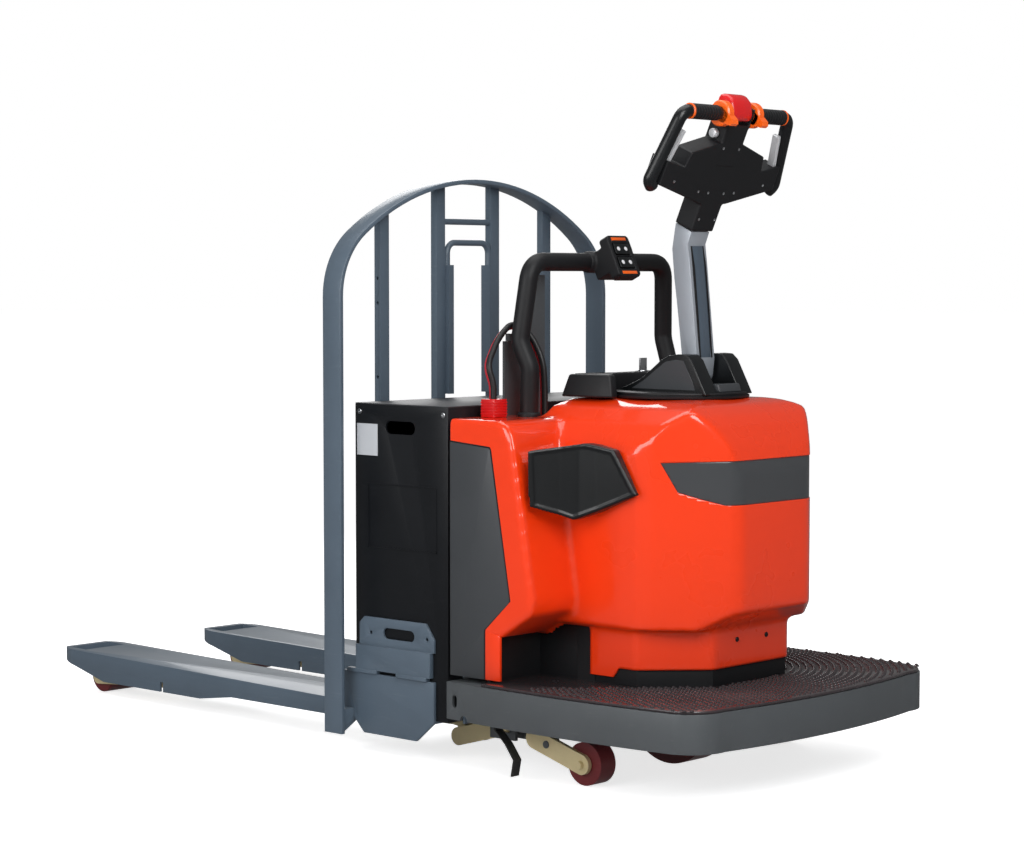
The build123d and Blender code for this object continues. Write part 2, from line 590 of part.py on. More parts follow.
def chassis_frame():
    """Bulkhead, guide rails, slotted link lugs and the bridge that carries the drive unit."""
    rear = SKIRT_START
    frame = box(rear, rear + 6, -304, 304, SKIRT_TOP, SHOULDER_TOP - 10)
    frame -= box(rear - 1, rear + 7, -55, 55, 545, 725)
    frame += box(rear - 6, rear, -240, -111, 690, 905) + box(rear - 6, rear, -185, -111, 900, 1047)
    frame += box(rear - 14, rear + 2, -222, -208, 905, 921)
    for side in (-1, 1):
        rail = box(RAIL_FRONT, RAIL_BACK, *sorted((side * 304, side * 356)), 124, 700)
        frame += rail - box(RAIL_FRONT - 1, RAIL_BACK - 8, side * RAIL_Y - 20, side * RAIL_Y + 20, 100, 800)
        pin_low = min(PIN_DRIFT)
        for lug_y in (CRANK_ARM_Y - 20, CRANK_ARM_Y + 12):
            span = sorted((side * lug_y, side * (lug_y + 8)))
            lug = box(LINK_X - 44, LINK_X + 30, *span, LINK_Z - 26, SKIRT_TOP - DECK_PLATE)
            half = LINK_PIN_R + SLOT_CLEAR
            x0, x1 = LINK_BACK - half, CRANK_X + CRANK_ARM + half
            lug -= box(x0, x1, span[0] - 1, span[1] + 1, LINK_Z + pin_low - half, LINK_Z + half)
            frame += lug
        for x in (500, 770):
            frame += box(x - 10, x + 10, *sorted((side * 130, side * 150)), SKIRT_TOP, BRIDGE_Z)
    frame += box(490, 780, -150, 150, BRIDGE_Z, BRIDGE_Z + BRIDGE_THICK)
    return frame - rod_z(STEER_X, 0, JOURNAL_R + PIN_CLEAR, BRIDGE_Z - 1, BRIDGE_Z + BRIDGE_THICK + 1)


def platform():
    """Skirt, deck plate and the lugs that hold the stabiliser arms."""
    skirt = platform_solid(0, SKIRT_BOTTOM, SKIRT_TOP)
    skirt -= platform_solid(SKIRT_WALL, SKIRT_BOTTOM - 1, SKIRT_TOP + 1)
    skirt -= box(SKIRT_START - 1, SKIRT_START + SKIRT_WALL + 1,
                 -SKIRT_HALF + SKIRT_WALL, SKIRT_HALF - SKIRT_WALL,
                 SKIRT_BOTTOM - 1, SKIRT_TOP + 1)
    deck = platform_solid(SKIRT_WALL, SKIRT_TOP - DECK_PLATE, SKIRT_TOP)
    deck += box(SKIRT_START, SKIRT_START + SKIRT_WALL + 1, -SKIRT_HALF + SKIRT_WALL, SKIRT_HALF - SKIRT_WALL,
                SKIRT_TOP - DECK_PLATE, SKIRT_TOP)
    deck -= rod_z(STEER_X, 0, TURRET_R, SKIRT_TOP - 20, SKIRT_TOP + 20)
    for y in (-RAIL_Y, RAIL_Y):
        deck -= box(SKIRT_START - 1, RAIL_BACK, y - 26, y + 26, SKIRT_TOP - 20, SKIRT_TOP + 1)
    weld = skirt + deck
    weld -= slot_y(381, 150, 8, 14, -SKIRT_BULGE - 1, -SKIRT_HALF + 20)
    weld -= slot_y(381, 150, 8, 14, SKIRT_HALF - 20, SKIRT_BULGE + 1)
    weld -= rod_y(410, SKIRT_BOTTOM, 12, -SKIRT_BULGE - 1, -SKIRT_HALF + 20)
    weld -= rod_y(410, SKIRT_BOTTOM, 12, SKIRT_HALF - 20, SKIRT_BULGE + 1)
    for side in (-1, 1):
        hanger = side_prism([(STAB_PIVOT_X - 34, SKIRT_TOP - DECK_PLATE),
                             (STAB_PIVOT_X - 18, STAB_PIVOT_Z + 14),
                             (STAB_PIVOT_X + 18, STAB_PIVOT_Z + 14),
                             (STAB_PIVOT_X + 34, SKIRT_TOP - DECK_PLATE)],
                            *sorted((side * (STAB_Y - 17), side * (STAB_Y - 6))))
        hanger += rod_y(STAB_PIVOT_X, STAB_PIVOT_Z, 20, *sorted((side * (STAB_Y - 17), side * (STAB_Y - 6))))
        hanger += rod_y(STAB_PIVOT_X, STAB_PIVOT_Z, 8, *sorted((side * (STAB_Y - 17), side * (STAB_Y + 7))))
        weld += hanger
    return weld


def deck_mat():
    """Rubber mat round the hood."""
    mat = platform_solid(MAT_INSET, SKIRT_TOP, MAT_TOP)
    mat -= box(0, 461, -500, 500, SKIRT_TOP - 1, MAT_TOP + 1)
    mat -= plan_prism(plinth_plan(-1.0), SKIRT_TOP - 1, MAT_TOP + 1)
    return mat


def plinth_plan(inset, start=452.0):
    """Plan of the foot of the hood."""
    half, nose = VALANCE_HALF - PLINTH_INSET - inset, VALANCE_NOSE_X - PLINTH_INSET - inset
    return mirrored([(start, half), (727, half), (nose, VALANCE_NOSE_HALF - 2)])


def plinth():
    """Dark foot of the hood, whose sides rise under the wings to line the foot recesses."""
    foot = plan_prism(plinth_plan(0), SKIRT_TOP, PLINTH_TOP)
    foot -= plan_prism(plinth_plan(PLINTH_WALL, 440), SKIRT_TOP - 1, PLINTH_TOP + 1)
    for side in (-1, 1):
        y1 = side * (VALANCE_HALF - PLINTH_INSET)
        span = sorted((y1 - side * PLINTH_WALL, y1))
        foot += side_prism([(452, SKIRT_TOP), (452, RECESS_TOP), (WING_FOOT_X, RECESS_TOP), (566, 338),
                            (573, 338), (573, SKIRT_TOP)], *span)
        span = sorted((y1 - side * PLINTH_WALL, side * (PANEL_HALF - HOOD_WALL - 0.5)))
        foot += box(452, 458, *span, SKIRT_TOP, RECESS_TOP - 1)
    return foot


def drive_head():
    """Gear case beside the wheel, journal, flange, steering column and tiller yoke."""
    wall = DRIVE_WIDTH / 2 + 5
    case = side_prism([(STEER_X - 62, 62), (STEER_X - 40, 52), (STEER_X + 40, 52), (STEER_X + 62, 62),
                       (STEER_X + 62, 262), (STEER_X - 62, 262)], wall, wall + 46)
    case += box(STEER_X - 62, STEER_X + 62, -wall - 14, wall + 46, DRIVE_R * 2 + 8, 262)
    case += rod_z(STEER_X, 0, JOURNAL_R, 255, BRIDGE_Z + BRIDGE_THICK)
    case += rod_z(STEER_X, 0, JOURNAL_R + 22, BRIDGE_Z + BRIDGE_THICK, BRIDGE_Z + BRIDGE_THICK + 12)
    case += rod_y(STEER_X, DRIVE_R, DRIVE_AXLE_R, -DRIVE_WIDTH / 2 + 4, wall)
    column = rod_z(STEER_X, 0, COLUMN_R, MOTOR_TOP, HOOD_CREST + 2)
    column += box(STEER_X - 34, PIVOT_X + 30, -DOME_INNER + 2, DOME_INNER - 2, HOOD_CREST + 1, HOOD_CREST + 8)
    for side in (-1, 1):
        y0, y1 = sorted((side * (ARM_HALF + 0.5), side * (DOME_INNER - 2)))
        column += stadium(PIVOT_X - 10, HOOD_CREST + 6, 12, PIVOT_X, PIVOT_Z, 18, y0, y1)
    pin = rod_y(PIVOT_X, PIVOT_Z, PIVOT_R, -DOME_INNER + 1, DOME_INNER - 1)
    return case, column + pin


def turret_cover():
    """Round rotating cover with the two domes that flank the tiller."""
    low = HOOD_CREST + 0.6
    disc = rod_z(STEER_X, 0, TURRET_R, low, low + TURRET_PLATE)
    dome = [(512, low + 6), (560, 812), (610, 832), (652, 866), (676, 880), (727, 881), (741, 866),
            (766, 822), (780, low + 6)]
    for side in (-1, 1):
        y0, y1 = sorted((side * DOME_INNER, side * DOME_OUTER))
        disc += side_prism(dome, y0, y1) & rod_z(STEER_X, 0, TURRET_R, 0, 1000)
    disc -= box(STEER_X - 60, PIVOT_X + 34, -DOME_INNER, DOME_INNER, low - 1, low + TURRET_PLATE + 1)
    return disc


def head_frame(y, out, up):
    """Point given in the tilted frame of the tiller head."""
    t = math.radians(HEAD_TILT)
    return (NECK_X + out * math.cos(t) + up * math.sin(t), y, NECK_Z - out * math.sin(t) + up * math.cos(t))


HEAD = Pos(NECK_X, 0, NECK_Z) * Rot(0, HEAD_TILT, 0)


def tiller_arm():
    """Bowed arm from the pivot to the neck of the head."""
    left = [(PIVOT_X - 20, PIVOT_Z), (674, 880), (661, 985), (653, 1040), (647, 1103)]
    neck_left, neck_right = head_frame(0, -28, 0), head_frame(0, 20, 0)
    right = [(690, 1112), (696, 1062), (706, 967), (716, 870), (PIVOT_X + 20, PIVOT_Z)]
    outline = left + [(neck_left[0], neck_left[2]), (neck_right[0], neck_right[2])] + right
    arm = side_prism(outline, -ARM_HALF, ARM_HALF)
    arm += rod_y(PIVOT_X, PIVOT_Z, 20, -ARM_HALF, ARM_HALF)
    return arm - rod_y(PIVOT_X, PIVOT_Z, PIVOT_R + PIN_CLEAR, -50, 50)


def tiller_head():
    """Neck, centre box and the two wings of the head."""
    neck = box(-32, 26, -36, 36, 0, 70)
    spine = box(-24, 24, -36, 36, 70, 242)
    wing = []
    for side in (-1, 1):
        outline = [(side * 36, 70), (side * 48, 68), (side * 195.5, 98), (side * 190.5, 126),
                   (side * 120, 150), (side * 80, 182), (side * 36, 196)]
        wing.append(front_prism(outline, -20, 24))
        cheek = box(BAR_OUT - 19, BAR_OUT + 16, *sorted((side * 34.4, side * 38)), 236, BAR_UP + 18)
        for near in (-12, 8.5):
            y0, y1 = sorted((side * 178, side * 189))
            cheek += box(BAR_OUT + near, BAR_OUT + near + 3.5, y0, y1, 118, 146)
        cheek += Pos(BAR_OUT, side * 183, 141) * Rot(0, 90, 0) * Cylinder(3, 24)
        wing.append(cheek)
    body = neck + spine
    for piece in wing:
        body += piece
    for side in (-1, 1):
        body -= rod_y(HORN_OUT, HORN_UP, HORN_R + 0.3, *sorted((side * 32, side * 40)))
    return HEAD * body


def tiller_loop(side):
    """Handle bar and guard loop of one side."""
    path = [(BAR_OUT, side * 38.0, BAR_UP), (BAR_OUT, side * LOOP_TOP_Y, BAR_UP),
            (BAR_OUT, side * LOOP_LOW_Y, LOOP_LOW_UP)]
    loop = tube_path(path, 26, LOOP_R)
    foot = box(BAR_OUT - 14, BAR_OUT + 14, *sorted((side * 196, side * 224)), 96, 126)
    return HEAD * (loop + foot)


def throttle():
    """Butterfly wings that turn about the handle bar."""
    pieces = []
    for side in (-1, 1):
        y0, y1 = sorted((side * 40, side * 62))
        wing = Pos(BAR_OUT, 0, BAR_UP) * rod_y(0, 0, 27, y0, y1)
        wing += box(BAR_OUT - 2, BAR_OUT + 40, y0, y1, BAR_UP - 12, BAR_UP + 8)
        wing -= Pos(BAR_OUT, 0, BAR_UP) * rod_y(0, 0, LOOP_R + 0.08, y0 - 1, y1 + 1)
        pieces.append(HEAD * wing)
    return pieces


def belly_button():
    """Red safety button across the end of the head."""
    low = 250.0
    outline = [(-30, low), (26, low), (26, 268), (12, 290), (-8, 299), (-30, 292)]
    cap = side_prism(outline, -34, 34)
    return HEAD * cap


def horn_button(side):
    """Thumb button on the side of the tiller head's spine."""
    return HEAD * rod_y(HORN_OUT, HORN_UP, HORN_R, *sorted((side * 35.5, side * 47)))


def loop_inside(up):
    """Half width inside the straight side of a loop at a height on the tilted head."""
    lean = (LOOP_LOW_Y - LOOP_TOP_Y) / (BAR_UP - LOOP_LOW_UP)
    return LOOP_TOP_Y + lean * (BAR_UP - up) - (LOOP_R + 0.6) * math.hypot(1, lean)


def speed_paddle(side):
    """Lever inside a loop, hinged at its foot and squeezed towards the loop."""
    low, high = 135.0, 222.0
    outline = [(loop_inside(low) - 1, low), (loop_inside(high) - 7, high), (loop_inside(high) - 15, high - 3),
               (loop_inside(low) - 11, low)]
    blade = front_prism([(side * y, z) for y, z in outline], BAR_OUT - 8, BAR_OUT + 8)
    return HEAD * (blade - Pos(BAR_OUT, side * 183, 141) * Rot(0, 90, 0) * Cylinder(3 + PIN_CLEAR, 40))


def grab_bar():
    """Tube hoop on the shoulders of the hood, each leg with a double kink."""
    leg = [(418, SHOULDER_TOP - 10), (424, 850), (401, 905), (416, GRAB_TOP_Z)]
    half = (230, 233, 240, GRAB_HALF)
    points = [(x, -y, z) for (x, z), y in zip(leg, half)]
    points += [(x, y, z) for (x, z), y in reversed(list(zip(leg, half)))]
    seat = SHOULDER_TOP + 0.3
    hoop = tube_path(points, [60, 60, 44, 44, 60, 60], GRAB_R) & box(300, 500, -300, 300, seat, 1200)
    for side in (-1, 1):
        hoop += rod_z(418, side * 230, 22, seat, seat + 6)
    return hoop


PAD = Pos(PAD_X, 0, PAD_Z) * Rot(0, 90 - PAD_TILT, 0)


def pad_housing():
    """Housing clamped on the grab bar; its face tilts up towards the rider."""
    half_w, half_t = PAD_WIDE / 2, PAD_TALL / 2
    deep = 66.0
    block = box(-half_t, half_t, -half_w, half_w, -30, 0)
    neck = box(-24, 24, -half_w, half_w, -deep, -30)
    for x in (-16, 16):
        block -= box(x - 13, x + 13, -24, 24, -6, 1)
    housing = PAD * (block + neck)
    return housing - rod_y(416, GRAB_TOP_Z, GRAB_R + 0.01, -60, 60)


def pad_key(x):
    """One key of the control pad, in the pad's tilted frame."""
    return PAD * box(x - 12.5, x + 12.5, -23.5, 23.5, -3.5, 1.5)


def instrument_cover():
    """Low console on the hood's crest behind the turret, with the bore of its key switch."""
    base = [(590, -160), (590, 160), (560, 170), (455, 170), (455, -170), (560, -170)]
    wire = Polyline(*[(x, y, HOOD_CREST + 0.3) for x, y in base], close=True)
    body = extrude(make_face(wire), amount=CONSOLE_RISE, taper=14, dir=(0, 0, 1))
    body -= rod_z(STEER_X, 0, TURRET_R + 6, HOOD_CREST - 1, HOOD_CREST + 60)
    return body - rod_z(KEY_X, KEY_Y, KEY_R + PIN_CLEAR, HOOD_CREST + 30, HOOD_CREST + 60)


def key_switch():
    """Lock barrel with the bow of its key."""
    top = HOOD_CREST + CONSOLE_RISE
    barrel = rod_z(KEY_X, KEY_Y, KEY_R, HOOD_CREST + 30, top + 3)
    return barrel + box(KEY_X - 1.5, KEY_X + 1.5, KEY_Y - 12, KEY_Y + 12, top + 3, top + 30)


def power_pack():
    """Lift cylinder, ram, shoes, pump unit, controller and drive motor."""
    emit("lift_ram", rod_z(CYLINDER_X, 0, RAM_R, 200, RAM_TOP))
    barrel = rod_z(CYLINDER_X, 0, RAM_R + 15, SKIRT_TOP, 450)
    barrel -= rod_z(CYLINDER_X, 0, RAM_R + PIN_CLEAR, SKIRT_TOP + 8, 451)
    shoes = []
    for y in (-RAIL_Y, RAIL_Y):
        for low in (150, 400):
            half = 20 - SHOE_CLEAR
            shoes.append(box(CASE_BACK + 8, RAIL_BACK - 8 - SHOE_CLEAR, y - half, y + half, low, low + 100))
    emit("guide_shoes", *shoes)
    emit("hydraulic_unit", barrel, box(402, 482, 70, 225, SKIRT_TOP, 430))
    emit("motor_controller", box(402, 482, -225, -70, SKIRT_TOP, 400))
    emit("drive_motor", rod_z(STEER_X, 0, MOTOR_R, BRIDGE_Z + BRIDGE_THICK + 12, MOTOR_TOP))
    wheel = rod_y(STEER_X, DRIVE_R, DRIVE_R, -DRIVE_WIDTH / 2, DRIVE_WIDTH / 2)
    emit("drive_wheel", wheel - rod_y(STEER_X, DRIVE_R, DRIVE_AXLE_R + PIN_CLEAR, -DRIVE_WIDTH, DRIVE_WIDTH))


def cables():
    """Battery plug on the right shoulder and its two leads, which loop back into the hood."""
    plug_top = SHOULDER_TOP + 39
    emit("battery_connector", box(364, 402, -322, -282, SHOULDER_TOP + 0.3, plug_top))
    route = [(372, -296, plug_top + 0.3), (372, -296, 812), (362, -304, 852), (353, -262, 908),
             (352, -215, 943.5), (383, -190, 915), (413, -184, 860), (414, -180, 800),
             (414, -180, SHOULDER_TOP + 0.3)]
    for name, shift in (("red", (0, 0, 0)), ("black", (12, -8, 4))):
        points = [tuple(a + b for a, b in zip(p, shift)) for p in route]
        points[0] = (points[0][0], points[0][1], plug_top + 0.3)
        points[-1] = (points[-1][0], points[-1][1], SHOULDER_TOP + 0.3)
        runs = [math.dist(a, b) for a, b in zip(points, points[1:])]
        radii = []
        for k in range(1, len(points) - 1):
            before = Vector(*points[k]) - Vector(*points[k - 1])
            turn = math.radians(before.get_angle(Vector(*points[k + 1]) - Vector(*points[k])))
            radii.append(0.45 * min(runs[k - 1], runs[k]) / math.tan(turn / 2))
        print("cable", name, [round(r) for r in radii], "length", round(sum(runs)))
        emit(f"cable_{name}", tube_path(points, radii, CABLE_R))


def static_strap():
    """Conductive strap that trails from the deck to the floor."""
    route = [(478, SKIRT_TOP - DECK_PLATE), (482, 100), (512, 74), (536, 43), (529, 8)]
    back = [(x + 4, z) for x, z in reversed(route)]
    return side_prism(route + back, -408, -386)


def stabiliser(side):
    """Trailing arm plate with its axle, and the wheel."""
    y0, y1 = sorted((side * (STAB_Y - STAB_PLATE / 2), side * (STAB_Y + STAB_PLATE / 2)))
    arm = stadium(STAB_PIVOT_X - 36, STAB_PIVOT_Z + 8, 21, STAB_AXLE_X, STAB_WHEEL_R, 21, y0, y1)
    arm -= rod_y(STAB_PIVOT_X, STAB_PIVOT_Z, 8 + PIN_CLEAR, y0 - 1, y1 + 1)
    inner = STAB_Y - STAB_PLATE / 2 - 2
    span = sorted((side * (inner - STAB_WHEEL_WIDTH - 2), side * (STAB_Y + 14)))
    axle = rod_y(STAB_AXLE_X, STAB_WHEEL_R, STAB_AXLE_R, *span)
    span = sorted((side * (inner - STAB_WHEEL_WIDTH), side * inner))
    wheel = rod_y(STAB_AXLE_X, STAB_WHEEL_R, STAB_WHEEL_R, *span)
    wheel -= rod_y(STAB_AXLE_X, STAB_WHEEL_R, STAB_AXLE_R + PIN_CLEAR, span[0] - 1, span[1] + 1)
    return arm + axle, wheel


def main():
    """Build every node of the truck."""
    sides = {"right": -1, "left": 1}
    for name, side in sides.items():
        emit(f"fork_{name}", fork_blade(side * FORK_Y))
        emit(f"load_rocker_{name}", load_rocker(side * FORK_Y))
        emit(f"load_wheel_{name}", load_wheel(side * FORK_Y))
        emit(f"battery_keeper_{name}", battery_keeper(side))
        emit(f"knee_pad_{name}", knee_pad(side))
        emit(f"tiller_loop_{name}", tiller_loop(side))
        emit(f"horn_button_{name}", horn_button(side))
        emit(f"speed_paddle_{name}", speed_paddle(side))
        arm, wheel = stabiliser(side)
        emit(f"stabiliser_arm_{name}", arm)
        emit(f"stabiliser_wheel_{name}", wheel)
    emit("pull_rods", pull_rod(-FORK_Y), pull_rod(FORK_Y))
    emit("lift_crank", lift_crank())
    arch, posts, bars = backrest()
    emit("backrest_arch", arch)
    emit("backrest_posts", posts)
    emit("backrest_bars", *bars)
    emit("load_chassis", load_chassis())
    emit("battery_case", battery_case())
    emit("battery_cells", *battery_cells())
    emit("battery_lid", box(CASE_FRONT, CASE_BACK, -CASE_HALF, CASE_HALF, CASE_TOP, CASE_TOP + LID_THICK))
    shell, visor, panels = hood_pieces()
    emit("hood", *shell)
    emit("visor", visor)
    emit("side_panel_right", panels[0])
    emit("side_panel_left", panels[1])
    emit("chassis_frame", chassis_frame())
    emit("platform", platform())
    emit("deck_mat", deck_mat())
    emit("plinth", plinth())
    case, column = drive_head()
    emit("gear_case", case)
    emit("steering_column", column)
    emit("turret_cover", turret_cover())
    emit("tiller_arm", tiller_arm())
    emit("tiller_head", tiller_head())
    emit("throttle", *throttle())
    emit("belly_button", belly_button())
    emit("grab_bar", grab_bar())
    emit("pad_housing", pad_housing())
    emit("pad_key_upper", pad_key(-16))
    emit("pad_key_lower", pad_key(16))
    emit("instrument_cover", instrument_cover())
    emit("key_switch", key_switch())
    emit("static_strap", static_strap())
    power_pack()
    cables()


main()
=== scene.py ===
"""Electric ride-on pallet truck: the visual model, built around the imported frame.

Outlines are given in millimetres from the load face of the backrest, as the frame places it,
with Y across the truck and Z above the floor.
"""
from __future__ import annotations

import logging
import math
from dataclasses import dataclass, field
from enum import Enum
from typing import Iterable, Sequence

import bmesh
import bpy
from mathutils import Matrix, Vector


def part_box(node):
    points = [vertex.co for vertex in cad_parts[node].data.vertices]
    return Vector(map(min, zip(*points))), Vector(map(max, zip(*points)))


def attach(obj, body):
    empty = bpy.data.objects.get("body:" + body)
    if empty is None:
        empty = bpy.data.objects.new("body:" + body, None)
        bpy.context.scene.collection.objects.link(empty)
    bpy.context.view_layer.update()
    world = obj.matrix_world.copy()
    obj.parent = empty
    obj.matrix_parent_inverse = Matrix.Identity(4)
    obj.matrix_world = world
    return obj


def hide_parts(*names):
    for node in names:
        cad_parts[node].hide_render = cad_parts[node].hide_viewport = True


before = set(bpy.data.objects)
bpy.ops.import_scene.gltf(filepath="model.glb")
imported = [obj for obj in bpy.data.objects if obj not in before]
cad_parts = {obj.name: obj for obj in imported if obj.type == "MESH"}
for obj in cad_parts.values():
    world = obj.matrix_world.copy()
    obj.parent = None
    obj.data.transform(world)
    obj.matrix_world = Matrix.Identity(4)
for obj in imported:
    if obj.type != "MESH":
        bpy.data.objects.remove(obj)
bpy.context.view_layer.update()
LOG = logging.getLogger("pallet_truck")
Pair = tuple[float, float]
Colour = tuple[float, float, float]
LOAD_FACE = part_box("backrest_arch")[0][0]
LEAST_DUST = 0.15             # share of the dust that upright faces keep
DUST_COLOUR: Colour = (0.55, 0.53, 0.5)
SIDES = {"right": -1, "left": 1}


def at(x: float, y: float, z: float) -> Vector:
    """Point of the frame, in metres, from millimetres behind the load face."""
    return Vector((LOAD_FACE + x / 1000, y / 1000, z / 1000))


def reach(node: str) -> tuple[Vector, Vector]:
    """Corners of a CAD node.

    Args:
        node: Name of the node.

    Returns:
        Its lowest and highest corners, in millimetres from the load face.
    """
    low, high = (Vector(c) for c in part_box(node))
    shift = Vector((LOAD_FACE, 0, 0))
    return (low - shift) * 1000, (high - shift) * 1000


class Axis(Enum):
    """Direction in which an outline is drawn out, and how its two numbers are read."""

    X = "x"
    Y = "y"
    Z = "z"

    def place(self, a: float, b: float, depth: float) -> Vector:
        """Point of an outline at a depth along this axis.

        Args:
            a: First number of the outline.
            b: Second number of the outline.
            depth: Distance along the axis.

        Returns:
            The point, in metres.
        """
        if self is Axis.X:
            return at(depth, a, b)
        if self is Axis.Y:
            return at(a, depth, b)
        return at(a, b, depth)


class Cut(Enum):
    """What a shape does to the piece that it is worked into."""

    JOIN = "UNION"
    CUT = "DIFFERENCE"
    CROSS = "INTERSECT"


def rect(a0: float, a1: float, b0: float, b1: float) -> list[Pair]:
    """Rectangular outline between two limits each way."""
    return [(a0, b0), (a1, b0), (a1, b1), (a0, b1)]


def span(side: int, inner: float, outer: float) -> list[float]:
    """Two distances from the middle on one side of the truck, lowest first."""
    return sorted((side * inner, side * outer))


# ------------------------------------------------------------------ finishes
class Wiring:
    """Short way to add nodes to a tree and join them."""

    def __init__(self, tree: bpy.types.NodeTree) -> None:
        """Starts on an empty tree."""
        self.tree = tree

    def node(self, kind: str, **settings: object) -> bpy.types.Node:
        """Adds a node and sets its properties and its sockets.

        Args:
            kind: Class name of the node.
            settings: Properties by name; a leading in_ marks an input socket.

        Returns:
            The new node.
        """
        made = self.tree.nodes.new(kind)
        for key, value in settings.items():
            if not key.startswith("in_"):
                setattr(made, key, value)
        for key, value in settings.items():
            if key.startswith("in_"):
                made.inputs[key[3:].replace("_", " ")].default_value = value
        return made

    def join(self, source: bpy.types.NodeSocket, target: bpy.types.NodeSocket) -> None:
        """Links two sockets."""
        self.tree.links.new(source, target)


OpenGroup = tuple[bpy.types.NodeTree, Wiring, bpy.types.Node, bpy.types.Node]


def open_group(name: str, inputs: dict[str, float], outputs: Sequence[str]) -> OpenGroup:
    """Makes a shader node group with a vector input and named number inputs.

    Args:
        name: Name of the group.
        inputs: Number inputs and their defaults.
        outputs: Names of the outputs; the one called Normal is a vector.

    Returns:
        The tree, its wiring, its input node and its output node.
    """
    tree = bpy.data.node_groups.new(name, "ShaderNodeTree")
    tree.interface.new_socket("Place", in_out="INPUT", socket_type="NodeSocketVector")
    for label, default in inputs.items():
        socket = tree.interface.new_socket(label, in_out="INPUT", socket_type="NodeSocketFloat")
        socket.default_value = default
    for label in outputs:
        kind = "NodeSocketVector" if label == "Normal" else "NodeSocketFloat"
        tree.interface.new_socket(label, in_out="OUTPUT", socket_type=kind)
    wires = Wiring(tree)
    return tree, wires, wires.node("NodeGroupInput"), wires.node("NodeGroupOutput")


class Effects:
    """Node groups that several finishes share."""

    def __init__(self) -> None:
        """Builds each group once."""
        self.mottle = self._mottle()
        self.grain = self._grain()
        self.scuffs = self._scuffs()
        self.dust = self._dust()

    @staticmethod
    def _mottle() -> bpy.types.NodeTree:
        """Slow cloudy mask, as in sprayed paint or moulded plastic.

        Returns:
            The node group.
        """
        tree, w, start, end = open_group("cloudy_tone", {"Scale": 6.0}, ["Mask"])
        noise = w.node("ShaderNodeTexNoise", in_Detail=4.0, in_Roughness=0.6)
        w.join(start.outputs["Place"], noise.inputs["Vector"])
        w.join(start.outputs["Scale"], noise.inputs["Scale"])
        spread = w.node("ShaderNodeMapRange", in_From_Min=0.1, in_From_Max=0.9)
        w.join(noise.outputs["Fac"], spread.inputs["Value"])
        w.join(spread.outputs["Result"], end.inputs["Mask"])
        return tree

    @staticmethod
    def _grain() -> bpy.types.NodeTree:
        """Fine pebbled relief of textured plastic, rubber or powder paint.

        Returns:
            The node group.
        """
        tree, w, start, end = open_group("pebble_grain", {"Scale": 900.0, "Depth": 0.0001}, ["Normal"])
        cells = w.node("ShaderNodeTexVoronoi", feature="SMOOTH_F1")
        noise = w.node("ShaderNodeTexNoise", in_Detail=2.0)
        mix = w.node("ShaderNodeMath", operation="ADD")
        bump = w.node("ShaderNodeBump", in_Strength=1.0)
        for texture in (cells, noise):
            w.join(start.outputs["Place"], texture.inputs["Vector"])
            w.join(start.outputs["Scale"], texture.inputs["Scale"])
        w.join(cells.outputs["Distance"], mix.inputs[0])
        w.join(noise.outputs["Fac"], mix.inputs[1])
        w.join(mix.outputs["Value"], bump.inputs["Height"])
        w.join(start.outputs["Depth"], bump.inputs["Distance"])
        w.join(bump.outputs["Normal"], end.inputs["Normal"])
        return tree

    @staticmethod
    def _scuffs() -> bpy.types.NodeTree:
        """Mask of thin rubbed streaks.

        Returns:
            The node group.
        """
        tree, w, start, end = open_group("rubbed_streaks", {"Scale": 14.0}, ["Mask"])
        stretch = w.node("ShaderNodeMapping")
        stretch.inputs["Scale"].default_value = (1.0, 5.0, 9.0)
        noise = w.node("ShaderNodeTexNoise", in_Detail=8.0, in_Roughness=0.7)
        spread = w.node("ShaderNodeMapRange", in_From_Min=0.58, in_From_Max=0.74)
        w.join(start.outputs["Place"], stretch.inputs["Vector"])
        w.join(stretch.outputs["Vector"], noise.inputs["Vector"])
        w.join(start.outputs["Scale"], noise.inputs["Scale"])
        w.join(noise.outputs["Fac"], spread.inputs["Value"])
        w.join(spread.outputs["Result"], end.inputs["Mask"])
        return tree

    @staticmethod
    def _dust() -> bpy.types.NodeTree:
        """Mask that is strongest on faces that look up.

        Returns:
            The node group.
        """
        tree, w, start, end = open_group("settled_dust", {"Amount": 0.2}, ["Mask"])
        turned = w.node("ShaderNodeNewGeometry")
        split = w.node("ShaderNodeSeparateXYZ")
        up = w.node("ShaderNodeMath", operation="MAXIMUM")
        noise = w.node("ShaderNodeTexNoise", in_Scale=22.0, in_Detail=6.0)
        times = w.node("ShaderNodeMath", operation="MULTIPLY")
        amount = w.node("ShaderNodeMath", operation="MULTIPLY")
        w.join(turned.outputs["Normal"], split.inputs["Vector"])
        w.join(split.outputs["Z"], up.inputs[0])
        up.inputs[1].default_value = LEAST_DUST
        w.join(start.outputs["Place"], noise.inputs["Vector"])
        w.join(up.outputs["Value"], times.inputs[0])
        w.join(noise.outputs["Fac"], times.inputs[1])
        w.join(times.outputs["Value"], amount.inputs[0])
        w.join(start.outputs["Amount"], amount.inputs[1])
        w.join(amount.outputs["Value"], end.inputs["Mask"])
        return tree


